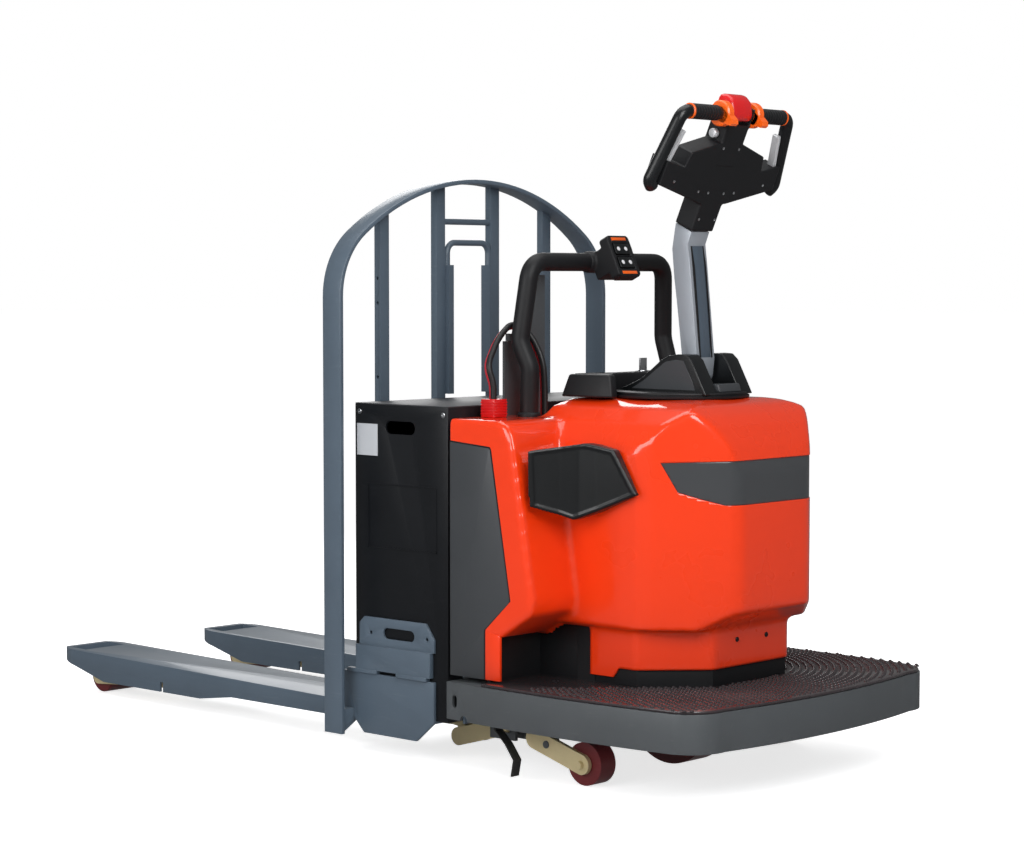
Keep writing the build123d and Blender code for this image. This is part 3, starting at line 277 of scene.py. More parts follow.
@dataclass(frozen=True)
class Finish:
    """A surface finish and how it is worn."""

    name: str
    colour: Colour
    rough: float = 0.4
    metal: float = 0.0
    coat: float = 0.0
    tone: float = 0.12            # how much the colour drifts
    tone_scale: float = 6.0
    grain: float = 0.0            # depth of the relief, mm
    grain_scale: float = 900.0    # cells in a metre
    scuff: float = 0.0
    scuff_colour: Colour = (0.5, 0.5, 0.5)
    dust: float = 0.0
    specular: float = 0.5

    def build(self, effects: Effects) -> bpy.types.Material:
        """Makes the node material.

        Args:
            effects: The shared node groups.

        Returns:
            The material.
        """
        made = bpy.data.materials.new(self.name)
        made.use_nodes = True
        w = Wiring(made.node_tree)
        shader = made.node_tree.nodes["Principled BSDF"]
        place = w.node("ShaderNodeTexCoord")
        tone = w.node("ShaderNodeGroup", node_tree=effects.mottle)
        tone.inputs["Scale"].default_value = self.tone_scale
        w.join(place.outputs["Object"], tone.inputs["Place"])
        ramp = w.node("ShaderNodeValToRGB")
        ramp.color_ramp.elements[0].color = (*(c * (1 - self.tone) for c in self.colour), 1)
        ramp.color_ramp.elements[1].color = (*(min(1.0, c * (1 + self.tone)) for c in self.colour), 1)
        w.join(tone.outputs["Mask"], ramp.inputs["Fac"])
        colour = ramp.outputs["Color"]
        for amount, group, tint in ((self.scuff, effects.scuffs, self.scuff_colour),
                                    (self.dust, effects.dust, DUST_COLOUR)):
            if amount:
                colour = self._layer(w, place, group, amount, tint, colour)
        w.join(colour, shader.inputs["Base Color"])
        rough = w.node("ShaderNodeMapRange", in_To_Min=max(0.02, self.rough - 0.05), in_To_Max=self.rough + 0.06)
        w.join(tone.outputs["Mask"], rough.inputs["Value"])
        w.join(rough.outputs["Result"], shader.inputs["Roughness"])
        shader.inputs["Metallic"].default_value = self.metal
        shader.inputs["Specular IOR Level"].default_value = self.specular
        shader.inputs["Coat Weight"].default_value = self.coat
        shader.inputs["Coat Roughness"].default_value = 0.04
        if self.grain:
            relief = w.node("ShaderNodeGroup", node_tree=effects.grain)
            relief.inputs["Scale"].default_value = self.grain_scale
            relief.inputs["Depth"].default_value = self.grain / 1000
            w.join(place.outputs["Object"], relief.inputs["Place"])
            w.join(relief.outputs["Normal"], shader.inputs["Normal"])
        return made

    @staticmethod
    def _layer(w: Wiring, place: bpy.types.Node, group: bpy.types.NodeTree, amount: float, tint: Colour,
               below: bpy.types.NodeSocket) -> bpy.types.NodeSocket:
        """Mixes a worn or dusty colour over the one below.

        Args:
            w: Wiring of the material.
            place: Texture coordinate node.
            group: Node group whose mask says where.
            amount: Strength of the layer.
            tint: Colour of the layer.
            below: Colour socket that it covers.

        Returns:
            The mixed colour socket.
        """
        mask = w.node("ShaderNodeGroup", node_tree=group)
        w.join(place.outputs["Object"], mask.inputs["Place"])
        scaled = w.node("ShaderNodeMath", operation="MULTIPLY")
        scaled.inputs[1].default_value = amount
        w.join(mask.outputs["Mask"], scaled.inputs[0])
        mix = w.node("ShaderNodeMix", data_type="RGBA")
        w.join(scaled.outputs["Value"], mix.inputs["Factor"])
        w.join(below, mix.inputs[6])
        mix.inputs[7].default_value = (*tint, 1)
        return mix.outputs[2]


FRAME_PAINT = Finish("blue_grey_paint", (0.085, 0.118, 0.155), 0.36, coat=0.15, grain=0.02, grain_scale=700,
                     scuff=0.10, scuff_colour=(0.35, 0.38, 0.4), dust=0.25)
SKIRT_PAINT = Finish("dark_grey_paint", (0.07, 0.078, 0.084), 0.42, coat=0.1, grain=0.02, grain_scale=700,
                     scuff=0.08, scuff_colour=(0.3, 0.3, 0.3), dust=0.2)
HOOD_GLOSS = Finish("orange_gloss", (0.86, 0.042, 0.003), 0.28, coat=1.0, tone=0.04,
                    tone_scale=3.0, specular=0.3)
PANEL = Finish("graphite_panel", (0.045, 0.049, 0.054), 0.38, tone=0.08, grain=0.02, grain_scale=1400)
VISOR = Finish("graphite_visor", (0.05, 0.053, 0.057), 0.30, coat=0.3, tone=0.06)
CASE_PAINT = Finish("battery_black", (0.006, 0.007, 0.009), 0.36, specular=0.35, tone=0.2, grain=0.02,
                    grain_scale=500, scuff=0.12, scuff_colour=(0.05, 0.05, 0.055), dust=0.03)
LID_GREY = Finish("lid_grey", (0.03, 0.032, 0.036), 0.5, tone=0.08, grain=0.02)
BLACK = Finish("textured_black", (0.009, 0.0095, 0.011), 0.5, specular=0.35, tone=0.15, grain=0.05, grain_scale=1500)
BLACK_SMOOTH = Finish("satin_black", (0.007, 0.008, 0.009), 0.3, specular=0.45, tone=0.12)
PAD_BLACK = Finish("soft_satin_black", (0.007, 0.008, 0.009), 0.34, coat=0.1, specular=0.45, tone=0.1, grain=0.01,
                   grain_scale=1100)
GAP = Finish("seam_shadow", (0.004, 0.004, 0.005), 0.7, tone=0.2)
MAT = Finish("ribbed_rubber", (0.034, 0.026, 0.029), 0.26, coat=0.5, tone=0.25, dust=0.12)
WHEEL = Finish("maroon_urethane", (0.16, 0.018, 0.022), 0.38, tone=0.2, scuff=0.15,
               scuff_colour=(0.3, 0.12, 0.12), dust=0.2)
STEEL = Finish("bright_steel", (0.55, 0.56, 0.58), 0.3, metal=1.0, tone=0.1, scuff=0.1)
ZINC = Finish("yellow_zinc", (0.74, 0.62, 0.36), 0.38, metal=0.35, tone=0.2, scuff=0.15,
              scuff_colour=(0.4, 0.4, 0.4))
CAST = Finish("dark_cast_iron", (0.05, 0.05, 0.055), 0.55, metal=0.4, tone=0.2, grain=0.1, grain_scale=400)
ARM_SILVER = Finish("silver_grey_paint", (0.34, 0.37, 0.41), 0.34, metal=0.3, coat=0.2, tone=0.06,
                    grain=0.02, grain_scale=1200)
# painted shade: dark blue-grey laid over the tiller arm's rider face to stand for that face's shade
ARM_FRONT_SHADE = Finish("arm_front_painted_shade", (0.07, 0.095, 0.125), 0.3, coat=0.2, tone=0.06)
ORANGE = Finish("control_orange", (0.93, 0.13, 0.008), 0.3, coat=0.3, tone=0.05)
RED = Finish("signal_red", (0.62, 0.008, 0.01), 0.3, coat=0.4, tone=0.08)
LIGHT = Finish("control_silver", (0.62, 0.63, 0.65), 0.28, metal=0.3, coat=0.2, tone=0.05)
WHITE = Finish("pictogram_white", (0.8, 0.8, 0.82), 0.5, tone=0.03)
LABEL = Finish("blank_label", (0.5, 0.52, 0.55), 0.45, tone=0.1)
LEAD_RED = Finish("lead_red", (0.55, 0.012, 0.03), 0.4, tone=0.1)
LEAD_BLACK = Finish("lead_black", (0.012, 0.012, 0.013), 0.45, tone=0.15)
STRAP = Finish("strap_rubber", (0.02, 0.02, 0.02), 0.6, tone=0.2, grain=0.05)
FLOOR = Finish("pale_floor", (0.86, 0.86, 0.87), 0.55, tone=0.01, tone_scale=1.5)


class Paintshop:
    """Keeps each finish's material so that it is built once."""

    def __init__(self) -> None:
        """Builds the shared effects."""
        self.effects = Effects()
        self.made: dict[str, bpy.types.Material] = {}

    def get(self, finish: Finish) -> bpy.types.Material:
        """Material of a finish.

        Args:
            finish: The finish.

        Returns:
            Its material, made on the first call.
        """
        if finish.name not in self.made:
            self.made[finish.name] = finish.build(self.effects)
        return self.made[finish.name]


SHOP = Paintshop()


# ------------------------------------------------------------------ shapes
class Shape:
    """A mesh under construction, made with bmesh operators."""

    def __init__(self) -> None:
        """Starts empty."""
        self.bm = bmesh.new()

    @classmethod
    def of(cls, piece: bpy.types.Object) -> "Shape":
        """Takes over the mesh of a loose object, which is removed.

        Args:
            piece: The object.

        Returns:
            A shape with its mesh.
        """
        shape = cls()
        shape.bm.from_mesh(piece.data)
        bpy.data.objects.remove(piece)
        return shape

    def prism(self, outline: Iterable[Pair], axis: Axis, low: float, high: float) -> "Shape":
        """Adds an outline drawn out along an axis.

        Args:
            outline: Corner points, in the axis's own two numbers.
            axis: Direction of the extrusion.
            low: Where it starts.
            high: Where it ends.

        Returns:
            This shape.
        """
        corners = [self.bm.verts.new(axis.place(a, b, low)) for a, b in outline]
        face = self.bm.faces.new(corners)
        grown = bmesh.ops.extrude_face_region(self.bm, geom=[face])
        moved = [v for v in grown["geom"] if isinstance(v, bmesh.types.BMVert)]
        bmesh.ops.translate(self.bm, verts=moved, vec=axis.place(0, 0, high) - axis.place(0, 0, low))
        bmesh.ops.recalc_face_normals(self.bm, faces=self.bm.faces[:])
        return self

    def lathe(self, profile: Sequence[Pair], centre: Vector, axis: Vector, steps: int = 48) -> "Shape":
        """Adds a solid of revolution.

        Args:
            profile: Radius and height pairs in millimetres.
            centre: Point on the axis.
            axis: Direction of the axis.
            steps: Number of facets.

        Returns:
            This shape.
        """
        turn = axis.normalized().to_track_quat("Z", "Y").to_matrix().to_4x4()
        place = Matrix.Translation(centre) @ turn
        line = [self.bm.verts.new(place @ Vector((r / 1000, 0, h / 1000))) for r, h in profile]
        edges = [self.bm.edges.new(pair) for pair in zip(line, line[1:])]
        before = set(self.bm.faces)
        bmesh.ops.spin(self.bm, geom=line + edges, cent=centre, axis=axis.normalized(),
                       angle=math.tau, steps=steps, use_merge=True)
        bmesh.ops.remove_doubles(self.bm, verts=self.bm.verts[:], dist=1e-6)
        fresh = [f for f in self.bm.faces if f not in before]
        bmesh.ops.recalc_face_normals(self.bm, faces=fresh)
        return self

    def tube(self, points: Sequence[Vector], radius: float, sides: int = 24) -> "Shape":
        """Adds a round bar along a smooth line.

        Args:
            points: Control points of the line.
            radius: Radius in millimetres.
            sides: Facets round the bar.

        Returns:
            This shape.
        """
        curve = bpy.data.curves.new("bar_line", "CURVE")
        curve.dimensions = "3D"
        curve.bevel_depth = radius / 1000
        curve.bevel_resolution = sides // 4
        curve.use_fill_caps = True
        spline = curve.splines.new("POLY")
        spline.points.add(len(points) - 1)
        for point, place in zip(spline.points, points):
            point.co = (*place, 1)
        holder = bpy.data.objects.new("bar_line", curve)
        mesh = bpy.data.meshes.new_from_object(holder)
        self.bm.from_mesh(mesh)
        bpy.data.objects.remove(holder)
        bpy.data.curves.remove(curve)
        bpy.data.meshes.remove(mesh)
        return self

    def copy_node(self, node: str) -> "Shape":
        """Adds a clean copy of a CAD node, with flat faces joined up again.

        Args:
            node: Name of the node.

        Returns:
            This shape.
        """
        self.bm.from_mesh(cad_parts[node].data)
        self.bm.transform(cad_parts[node].matrix_world)
        bmesh.ops.remove_doubles(self.bm, verts=self.bm.verts[:], dist=2e-5)
        bmesh.ops.dissolve_limit(self.bm, angle_limit=math.radians(1), verts=self.bm.verts[:],
                                 edges=self.bm.edges[:])
        return self

    def bevel(self, width: float, segments: int = 3, angle: float = 30.0) -> "Shape":
        """Rounds every edge sharper than an angle.

        Args:
            width: Size of the bevel in millimetres.
            segments: Facets across it.
            angle: Least angle between the faces, in degrees.

        Returns:
            This shape.
        """
        limit = math.radians(angle)
        sharp = [e for e in self.bm.edges if e.is_manifold and e.calc_face_angle(0) > limit]
        bmesh.ops.bevel(self.bm, geom=sharp, offset=width / 1000, offset_type="OFFSET", segments=segments,
                        profile=0.5, affect="EDGES", material=-1, clamp_overlap=True)
        return self

    def move(self, matrix: Matrix) -> "Shape":
        """Places the shape by a matrix."""
        self.bm.transform(matrix)
        return self

    def finish(self, name: str, finish: Finish, body: str, slot: str, smooth: float = 40.0) -> bpy.types.Object:
        """Turns the shape into a piece that rides on a body.

        Args:
            name: Name of the piece.
            finish: Its finish.
            body: The body that carries it.
            slot: The record's material slot; not used.
            smooth: Angle under which edges shade smoothly.

        Returns:
            The new object.
        """
        mesh = bpy.data.meshes.new(name)
        self.bm.to_mesh(mesh)
        self.bm.free()
        mesh.shade_smooth()
        mesh.set_sharp_from_angle(angle=math.radians(smooth))
        mesh.materials.append(SHOP.get(finish))
        piece = bpy.data.objects.new(name, mesh)
        bpy.context.scene.collection.objects.link(piece)
        if body:
            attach(piece, body)
            LOG.info("%s rides on %s", name, body)
        return piece


def apply_modifiers(piece: bpy.types.Object) -> None:
    """Turns a piece's modifiers into its mesh.

    Args:
        piece: Object that is changed.
    """
    graph = bpy.context.evaluated_depsgraph_get()
    fresh = bpy.data.meshes.new_from_object(piece.evaluated_get(graph))
    piece.modifiers.clear()
    piece.data = fresh


def scrap(shape: Shape) -> bpy.types.Object:
    """Loose object of a shape, for cutting with.

    Args:
        shape: The shape, which is used up.

    Returns:
        The object.
    """
    mesh = bpy.data.meshes.new("scrap")
    shape.bm.to_mesh(mesh)
    shape.bm.free()
    piece = bpy.data.objects.new("scrap", mesh)
    bpy.context.scene.collection.objects.link(piece)
    return piece


def carve(piece: bpy.types.Object, other: Shape, way: Cut) -> None:
    """Joins, cuts or crosses a piece with a shape.

    Args:
        piece: Object that is changed.
        other: Shape that works on it.
        way: What the shape does to the piece.
    """
    tool = scrap(other)
    step = piece.modifiers.new("carve", "BOOLEAN")
    step.operation = way.value
    step.object = tool
    step.solver = "EXACT"
    apply_modifiers(piece)
    bpy.data.objects.remove(tool)


def melt(piece: bpy.types.Object, voxel: float, rounds: int, factor: float = 0.5) -> None:
    """Rebuilds a piece as an even skin and rounds its edges, as a moulded part.

    Args:
        piece: Object that is changed.
        voxel: Size of the skin's cells, mm.
        rounds: How often the skin is smoothed.
        factor: Share of each smoothing step.
    """
    step = piece.modifiers.new("skin", "REMESH")
    step.mode = "VOXEL"
    step.voxel_size = voxel / 1000
    apply_modifiers(piece)
    bm = bmesh.new()
    bm.from_mesh(piece.data)
    for _ in range(rounds):
        bmesh.ops.smooth_vert(bm, verts=bm.verts[:], factor=factor, use_axis_x=True, use_axis_y=True,
                              use_axis_z=True)
    bm.to_mesh(piece.data)
    bm.free()


def mirrored(points: Sequence[Pair]) -> list[Pair]:
    """Half outline with its second number positive, completed across the middle."""
    return list(points) + [(x, -y) for x, y in reversed(points)]


def rounded_line(points: Sequence[Vector], radius: float, steps: int = 8) -> list[Vector]:
    """Line whose corners are turned into arcs.

    Args:
        points: Corners of the line.
        radius: Arc radius in millimetres.
        steps: Pieces of each arc.

    Returns:
        Points along the rounded line.
    """
    out = [points[0]]
    for before, corner, after in zip(points, points[1:], points[2:]):
        a, b = (before - corner).normalized(), (after - corner).normalized()
        half = a.angle(b) / 2
        cut = min(radius / 1000 / math.tan(half), 0.48 * min((before - corner).length, (after - corner).length))
        start, end = corner + a * cut, corner + b * cut
        for k in range(steps + 1):
            t = k / steps
            out.append(start * (1 - t) ** 2 + corner * 2 * t * (1 - t) + end * t ** 2)
    return out + [points[-1]]


def screw(shape: Shape, centre: Vector, axis: Vector, radius: float, proud: float = 1.5) -> None:
    """Adds a round screw head with a sunk middle to a shape.

    Args:
        shape: Shape that gets the screw.
        centre: Middle of the face that it sits on.
        axis: Direction in which it stands out.
        radius: Radius of the head in millimetres.
        proud: Height of the head in millimetres.
    """
    shape.lathe([(0, proud * 0.3), (radius * 0.42, proud * 0.3), (radius * 0.5, proud), (radius * 0.8, proud),
                 (radius, proud * 0.5), (radius, -1.0), (0, -1.0)], centre, axis, 18)


# ------------------------------------------------------------------ sub-assemblies
@dataclass
class LoadFrame:
    """Forks, tray, backrest and battery."""

    bolt: float = 6.0
    label_low: float = 655.0
    label_high: float = 724.0
    body: str = "load_frame"

    def build(self) -> None:
        """Makes every piece of the load frame."""
        plan = {"load_chassis": (FRAME_PAINT, 1.4), "fork_right": (FRAME_PAINT, 2.2),
                "fork_left": (FRAME_PAINT, 2.2), "backrest_arch": (FRAME_PAINT, 1.6),
                "backrest_posts": (FRAME_PAINT, 1.6)}
        for node, (finish, width) in plan.items():
            self.rounded(node, finish, width, self.body, "frame_paint")
        self.battery()
        for side in SIDES:
            keeper = f"battery_keeper_{side}"
            self.rounded(keeper, FRAME_PAINT, 1.2, keeper, "frame_paint")
        self.rollers()

    @staticmethod
    def rounded(node: str, finish: Finish, width: float, body: str, slot: str,
                segments: int = 2) -> bpy.types.Object:
        """Replaces a CAD node by a copy with broken edges.

        Args:
            node: Name of the node.
            finish: Its finish.
            width: Size of the bevel in millimetres.
            body: The body that carries it.
            slot: The record's material slot.
            segments: Facets across the bevel.

        Returns:
            The new object.
        """
        piece = Shape().copy_node(node).bevel(width, segments).finish(f"{node}_edged", finish, body, slot)
        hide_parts(node)
        return piece

    def battery(self) -> None:
        """Case with its ribs, bolts, label and lid."""
        self.rounded("battery_case", CASE_PAINT, 2.0, self.body, "case_paint")
        low, high = reach("battery_case")
        self.rounded("battery_lid", LID_GREY, 1.0, self.body, "lid_plastic", 2)
        trim, bolts, label = Shape(), Shape(), Shape()
        for side in (-1, 1):
            face = high.y * side
            left, right, base, top = low.x + 39, high.x - 33, low.z + 360, low.z + 498
            for x0, x1, z0, z1 in ((left, right, top, top + 3), (left, right, base, base + 3),
                                   (left, left + 3, base, top), (right - 3, right, base, top)):
                trim.prism(rect(x0, x1, z0, z1), Axis.Y, *span(side, high.y - 0.2, high.y + 1.0))
            for x in (low.x + 14, high.x - 14):
                screw(bolts, at(x, face, high.z - 16), Vector((0, side, 0)), self.bolt)
            label.prism(rect(low.x + 6, low.x + 70, self.label_low, self.label_high), Axis.Y,
                        *span(side, high.y, high.y + 0.6))
        trim.finish("battery_case_ribs", CASE_PAINT, self.body, "case_paint")
        bolts.finish("battery_case_bolts", STEEL, self.body, "bright_steel")
        label.finish("battery_label_blank", LABEL, self.body, "lid_plastic")

    def rollers(self) -> None:
        """Finishes of the wheels, levers and rods that keep their CAD shape."""
        for node, finish in {"backrest_bars": FRAME_PAINT, "lift_ram": STEEL, "guide_shoes": STEEL,
                             "battery_cells": BLACK, "load_rocker_right": ZINC, "load_rocker_left": ZINC,
                             "load_wheel_right": WHEEL, "load_wheel_left": WHEEL, "pull_rods": ZINC,
                             "lift_crank": ZINC}.items():
            paint(node, finish)


def paint(node: str, finish: Finish) -> None:
    """Gives a carried-over CAD node its material.

    Args:
        node: Name of the node.
        finish: Its finish.
    """
    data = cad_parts[node].data
    data.materials.clear()
    data.materials.append(SHOP.get(finish))


@dataclass
class Hood:
    """Moulded cover of the power unit, with its visor, side panels and knee pads."""

    half: float = 400.0
    waist: float = 262.0
    nose_half: float = 119.0
    crest: float = 787.0
    shoulder: float = 745.0
    lip: float = 668.0
    visor_low: float = 576.0
    visor_sink: float = 1.6
    visor_wall: float = 3.0
    wall: float = 6.0
    hub: float = 650.0
    hub_hole: float = 75.0
    rail_start: float = 449.0
    liner: float = 240.0
    recess_end: float = 604.0
    recess_top: float = 316.0
    hem: float = 232.0
    low_hem: float = 212.0
    notch: float = 682.0
    pad_rim: float = 7.0
    pad_sink: float = 1.8
    body: str = "chassis"
    wing: list[Pair] = field(default_factory=lambda: [
        (347, 745), (488, 745), (505, 738), (519, 722), (527, 700), (583, 378), (580, 352), (570, 342),
        (489, 291), (300, 291), (300, 745)])

    def skin(self) -> bpy.types.Object:
        """Closed outer skin of the hood.

        Returns:
            A loose object with the skin's mesh.
        """
        belly = mirrored([(300, self.waist), (700, self.waist + 2), (738, 258), (772, 243), (848, 182), (893, 134),
                          (904, 112)])
        side = [(300, 742), (441, 742), (449, 768), (462, 783), (520, 787), (786, 787), (820, 777), (846, 758),
                (866, 736), (882, 708), (891, 690), (896, 668), (905, 640), (905, 352), (893, 350), (842, 317),
                (300, 317)]
        front = [(-275, 317), (-275, 610), (-268, 655), (-252, 702), (-226, 742), (-190, 770), (-150, 783),
                 (-110, 787)]
        front = front + [(-y, z) for y, z in reversed(front)]
        piece = scrap(Shape().prism(belly, Axis.Z, 317, 800))
        carve(piece, Shape().prism(side, Axis.Y, -300, 300), Cut.CROSS)
        carve(piece, Shape().prism(front, Axis.X, 280, 930), Cut.CROSS)
        carve(piece, Shape().prism(self.wing, Axis.Y, -self.half, self.half), Cut.JOIN)
        foot = mirrored([(300, 243), (728, 243), (842, 126)])
        carve(piece, Shape().prism(foot, Axis.Z, 196, 340), Cut.JOIN)
        melt(piece, 6.0, 6)
        return piece

    def build(self) -> None:
        """Makes the hood and what is set into it."""
        shell = Shape.of(self.skin())
        bm = shell.bm
        self.slice_band(bm)
        self.trim_open_sides(bm)
        band = self.band_faces(bm)
        visor = Shape()
        keep = {f.index for f in band}
        mesh = bpy.data.meshes.new("band")
        bm.to_mesh(mesh)
        visor.bm.from_mesh(mesh)
        visor.bm.faces.ensure_lookup_table()
        bmesh.ops.delete(visor.bm, geom=[f for f in visor.bm.faces if f.index not in keep], context="FACES")
        bmesh.ops.delete(bm, geom=band, context="FACES")
        hood = shell.finish("hood_shell", HOOD_GLOSS, self.body, "hood_shell", 60)
        thick = hood.modifiers.new("wall", "SOLIDIFY")
        thick.thickness = self.wall / 1000
        thick.offset = -1
        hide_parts("hood")
        for v in visor.bm.verts:
            v.co -= v.normal * self.visor_sink / 1000
        band_piece = visor.finish("visor_band", VISOR, self.body, "panel_plastic", 60)
        back = band_piece.modifiers.new("wall", "SOLIDIFY")
        back.thickness = self.visor_wall / 1000
        back.offset = -1
        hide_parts("visor")
        for name, side in SIDES.items():
            self.side_panel(name, side)
            self.knee_pad(name, side)
        self.foot_rails()

    def slice_band(self, bm: bmesh.types.BMesh) -> None:
        """Cuts the skin along the edges of the visor and of the open sides.

        Args:
            bm: Mesh of the skin.
        """
        lines = [((770, 663), (916, self.lip)), ((916, self.visor_low), (884, self.visor_low)),
                 ((884, self.visor_low), (812, 603)), ((812, 603), (786, 660))]
        for (x0, z0), (x1, z1) in lines:
            near = [f for f in bm.faces if f.calc_center_median().x > at(765, 0, 0).x
                    and 0.54 < f.calc_center_median().z < 0.70]
            across = Vector((z0 - z1, 0, x1 - x0)).normalized()
            bmesh.ops.bisect_plane(bm, geom=self.around(near), plane_co=at(x0, 0, z0), plane_no=across)
        whole, low = math.inf, 0.325
        for point, across, top in ((at(349, 0, 0), Vector((1, 0, 0)), whole),
                                   (at(0, 0, self.hem), Vector((0, 0, 1)), low),
                                   (at(0, 0, self.low_hem), Vector((0, 0, 1)), low),
                                   (at(self.notch, 0, self.hem), Vector((0.8, 0, -0.6)), low),
                                   (at(self.recess_end, 0, 0), Vector((1, 0, 0)), low),
                                   (at(self.rail_start, 0, 0), Vector((1, 0, 0)), low),
                                   (at(0, 0, self.recess_top), Vector((0, 0, 1)), low)):
            faces = [f for f in bm.faces if f.calc_center_median().z < top]
            bmesh.ops.bisect_plane(bm, geom=self.around(faces), plane_co=point, plane_no=across)

    @staticmethod
    def around(faces: list[bmesh.types.BMFace]) -> list[bmesh.types.BMVert | bmesh.types.BMEdge | bmesh.types.BMFace]:
        """Faces with their edges and corners."""
        return faces + list({e for f in faces for e in f.edges}) + list({v for f in faces for v in f.verts})

    def band_faces(self, bm: bmesh.types.BMesh) -> list[bmesh.types.BMFace]:
        """Faces of the skin inside the visor's outline.

        Args:
            bm: Mesh of the skin.

        Returns:
            Those faces, with the mesh's faces numbered.
        """
        bm.faces.index_update()
        chosen = []
        for f in bm.faces:
            c = f.calc_center_median()
            x, z = (c.x - LOAD_FACE) * 1000, c.z * 1000
            if x < 786 or not 570 < z < 669:
                continue
            top = 663 + (x - 770) * (self.lip - 663) / 146
            low = self.visor_low if x > 884 else self.visor_low + (884 - x) * (603 - self.visor_low) / 72
            tip = z > 603 + (812 - x) * 2.19
            if z < top and z > low and (x > 812 or tip):
                chosen.append(f)
        return chosen

    def trim_open_sides(self, bm: bmesh.types.BMesh) -> None:
        """Opens the rear, the base and the steering hole.

        Args:
            bm: Mesh of the skin.
        """
        gone = []
        hub = at(self.hub, 0, 0)
        for f in bm.faces:
            c = f.calc_center_median()
            hole = (c.x - hub.x) ** 2 + c.y ** 2 < (self.hub_hole / 1000) ** 2 and c.z > 0.7
            x, z = (c.x - LOAD_FACE) * 1000, c.z * 1000
            ramp = (x - self.notch) * 0.8 - (z - self.hem) * 0.6 > 0
            below = z < self.low_hem or z < self.hem and ramp
            recess = abs(c.y) < 0.2475 and x < self.recess_end and z < self.recess_top
            base = abs(c.y) < 0.392 and x < self.rail_start and z < 300
            if x < 349.2 or below or recess or base or hole:
                gone.append(f)
        bmesh.ops.delete(bm, geom=gone, context="FACES")

    def side_panel(self, name: str, side: int) -> None:
        """Graphite panel let into the wing, over a dark seam.

        Args:
            name: Which side, as the node's name has it.
            side: Sign of that side across the truck.
        """
        node = f"side_panel_{name}"
        low, high = reach(node)
        outline = [(low.x + 1, high.z - 2), (460, high.z - 11), (463, high.z - 14), (518.5, 374), (517, 368),
                   (448, 307), (446, 302), (446, low.z), (low.x + 1, low.z)]
        plate = Shape().prism(outline, Axis.Y, *span(side, 396.5, 400.4)).bevel(1.0, 2)
        piece = plate.finish(f"{node}_plate", PANEL, self.body, "panel_plastic")
        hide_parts(node)
        seam = [(low.x, high.z + 1), (463, high.z - 8), (467, high.z - 13), (522, 372), (450, 306), (450, low.z),
                (low.x, low.z)]
        Shape().prism(seam, Axis.Y, *span(side, 396, 400.05)).finish(f"{node}_seam", GAP, self.body,
                                                                     "panel_plastic")

    def knee_pad(self, name: str, side: int) -> None:
        """Folded cushion with a raised rim.

        Args:
            name: Which side, as the node's name has it.
            side: Sign of that side across the truck.
        """
        node = f"knee_pad_{name}"
        plan = [(562, 398), (585, 366), (604, 338), (630, 312), (664, 296), (710, 285), (757, 276), (757, 264.6),
                (700, 265), (655, 265), (604, 300), (584, 330), (562, 372)]
        hexagon = [(562, 686), (640, 701), (702, 689), (756, 598), (622, 542), (565, 571)]
        piece = scrap(Shape().prism([(x, side * y) for x, y in plan], Axis.Z, 530, 715))
        carve(piece, Shape().prism(hexagon, Axis.Y, side * 250, side * 410), Cut.CROSS)
        melt(piece, 2.5, 5)
        shape = Shape.of(piece)
        centre_x = sum(x for x, _ in hexagon) / 6
        centre_z = sum(z for _, z in hexagon) / 6
        edges = self.pad_edges(hexagon, centre_x, centre_z)
        for v in shape.bm.verts:
            x, z = (v.co.x - LOAD_FACE) * 1000 - centre_x, v.co.z * 1000 - centre_z
            inside = min(a * x + b * z + c for a, b, c in edges)
            sink = max(0.0, min(1.0, (inside - self.pad_rim) / 3)) * self.pad_sink
            outward = v.normal.y * side
            if outward > 0.2:
                v.co -= v.normal * sink / 1000
        pad = shape.finish(f"{node}_cushion", PAD_BLACK, self.body, "pad_foam", 70)
        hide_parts(node)

    @staticmethod
    def pad_edges(points: Sequence[Pair], cx: float, cz: float) -> list[tuple[float, float, float]]:
        """Lines along the edges of an outline, for distances inward from them.

        Args:
            points: Corners of the outline.
            cx: First number of the centre that the lines are about.
            cz: Second number of that centre.

        Returns:
            Three factors for each edge.
        """
        lines = []
        for (x0, z0), (x1, z1) in zip(points, list(points[1:]) + [points[0]]):
            dx, dz = x1 - x0, z1 - z0
            size = math.hypot(dx, dz)
            a, b = dz / size, -dx / size
            c = -(a * (x0 - cx) + b * (z0 - cz))
            if c < 0:
                a, b, c = -a, -b, -c
            lines.append((a, b, c))
        return lines

    def foot_rails(self) -> None:
        """Orange lower edge of each wing beside the foot recess, and the valance screws."""
        for name, side in SIDES.items():
            outline = [(self.rail_start, 201), (491, 201), (491, 293), (486, 298), (self.rail_start, 303)]
            rail = Shape().prism(outline, Axis.Y, *span(side, self.half - 7, self.half)).bevel(1.2, 2)
            rail.finish(f"wing_rail_{name}", HOOD_GLOSS, self.body, "hood_shell")
            liner = Shape().prism(rect(566, self.recess_end + 10, 190, 336), Axis.Y,
                                  *span(side, self.liner - 4, self.liner))
            liner.finish(f"recess_liner_{name}", BLACK, self.body, "black_plastic")
        screws = Shape()
        for y in (-50, 50):
            screw(screws, at(842, y, 288), Vector((1, 0, 0)), 5.5, 2)
        screws.finish("valance_screws", BLACK_SMOOTH, self.body, "black_plastic")


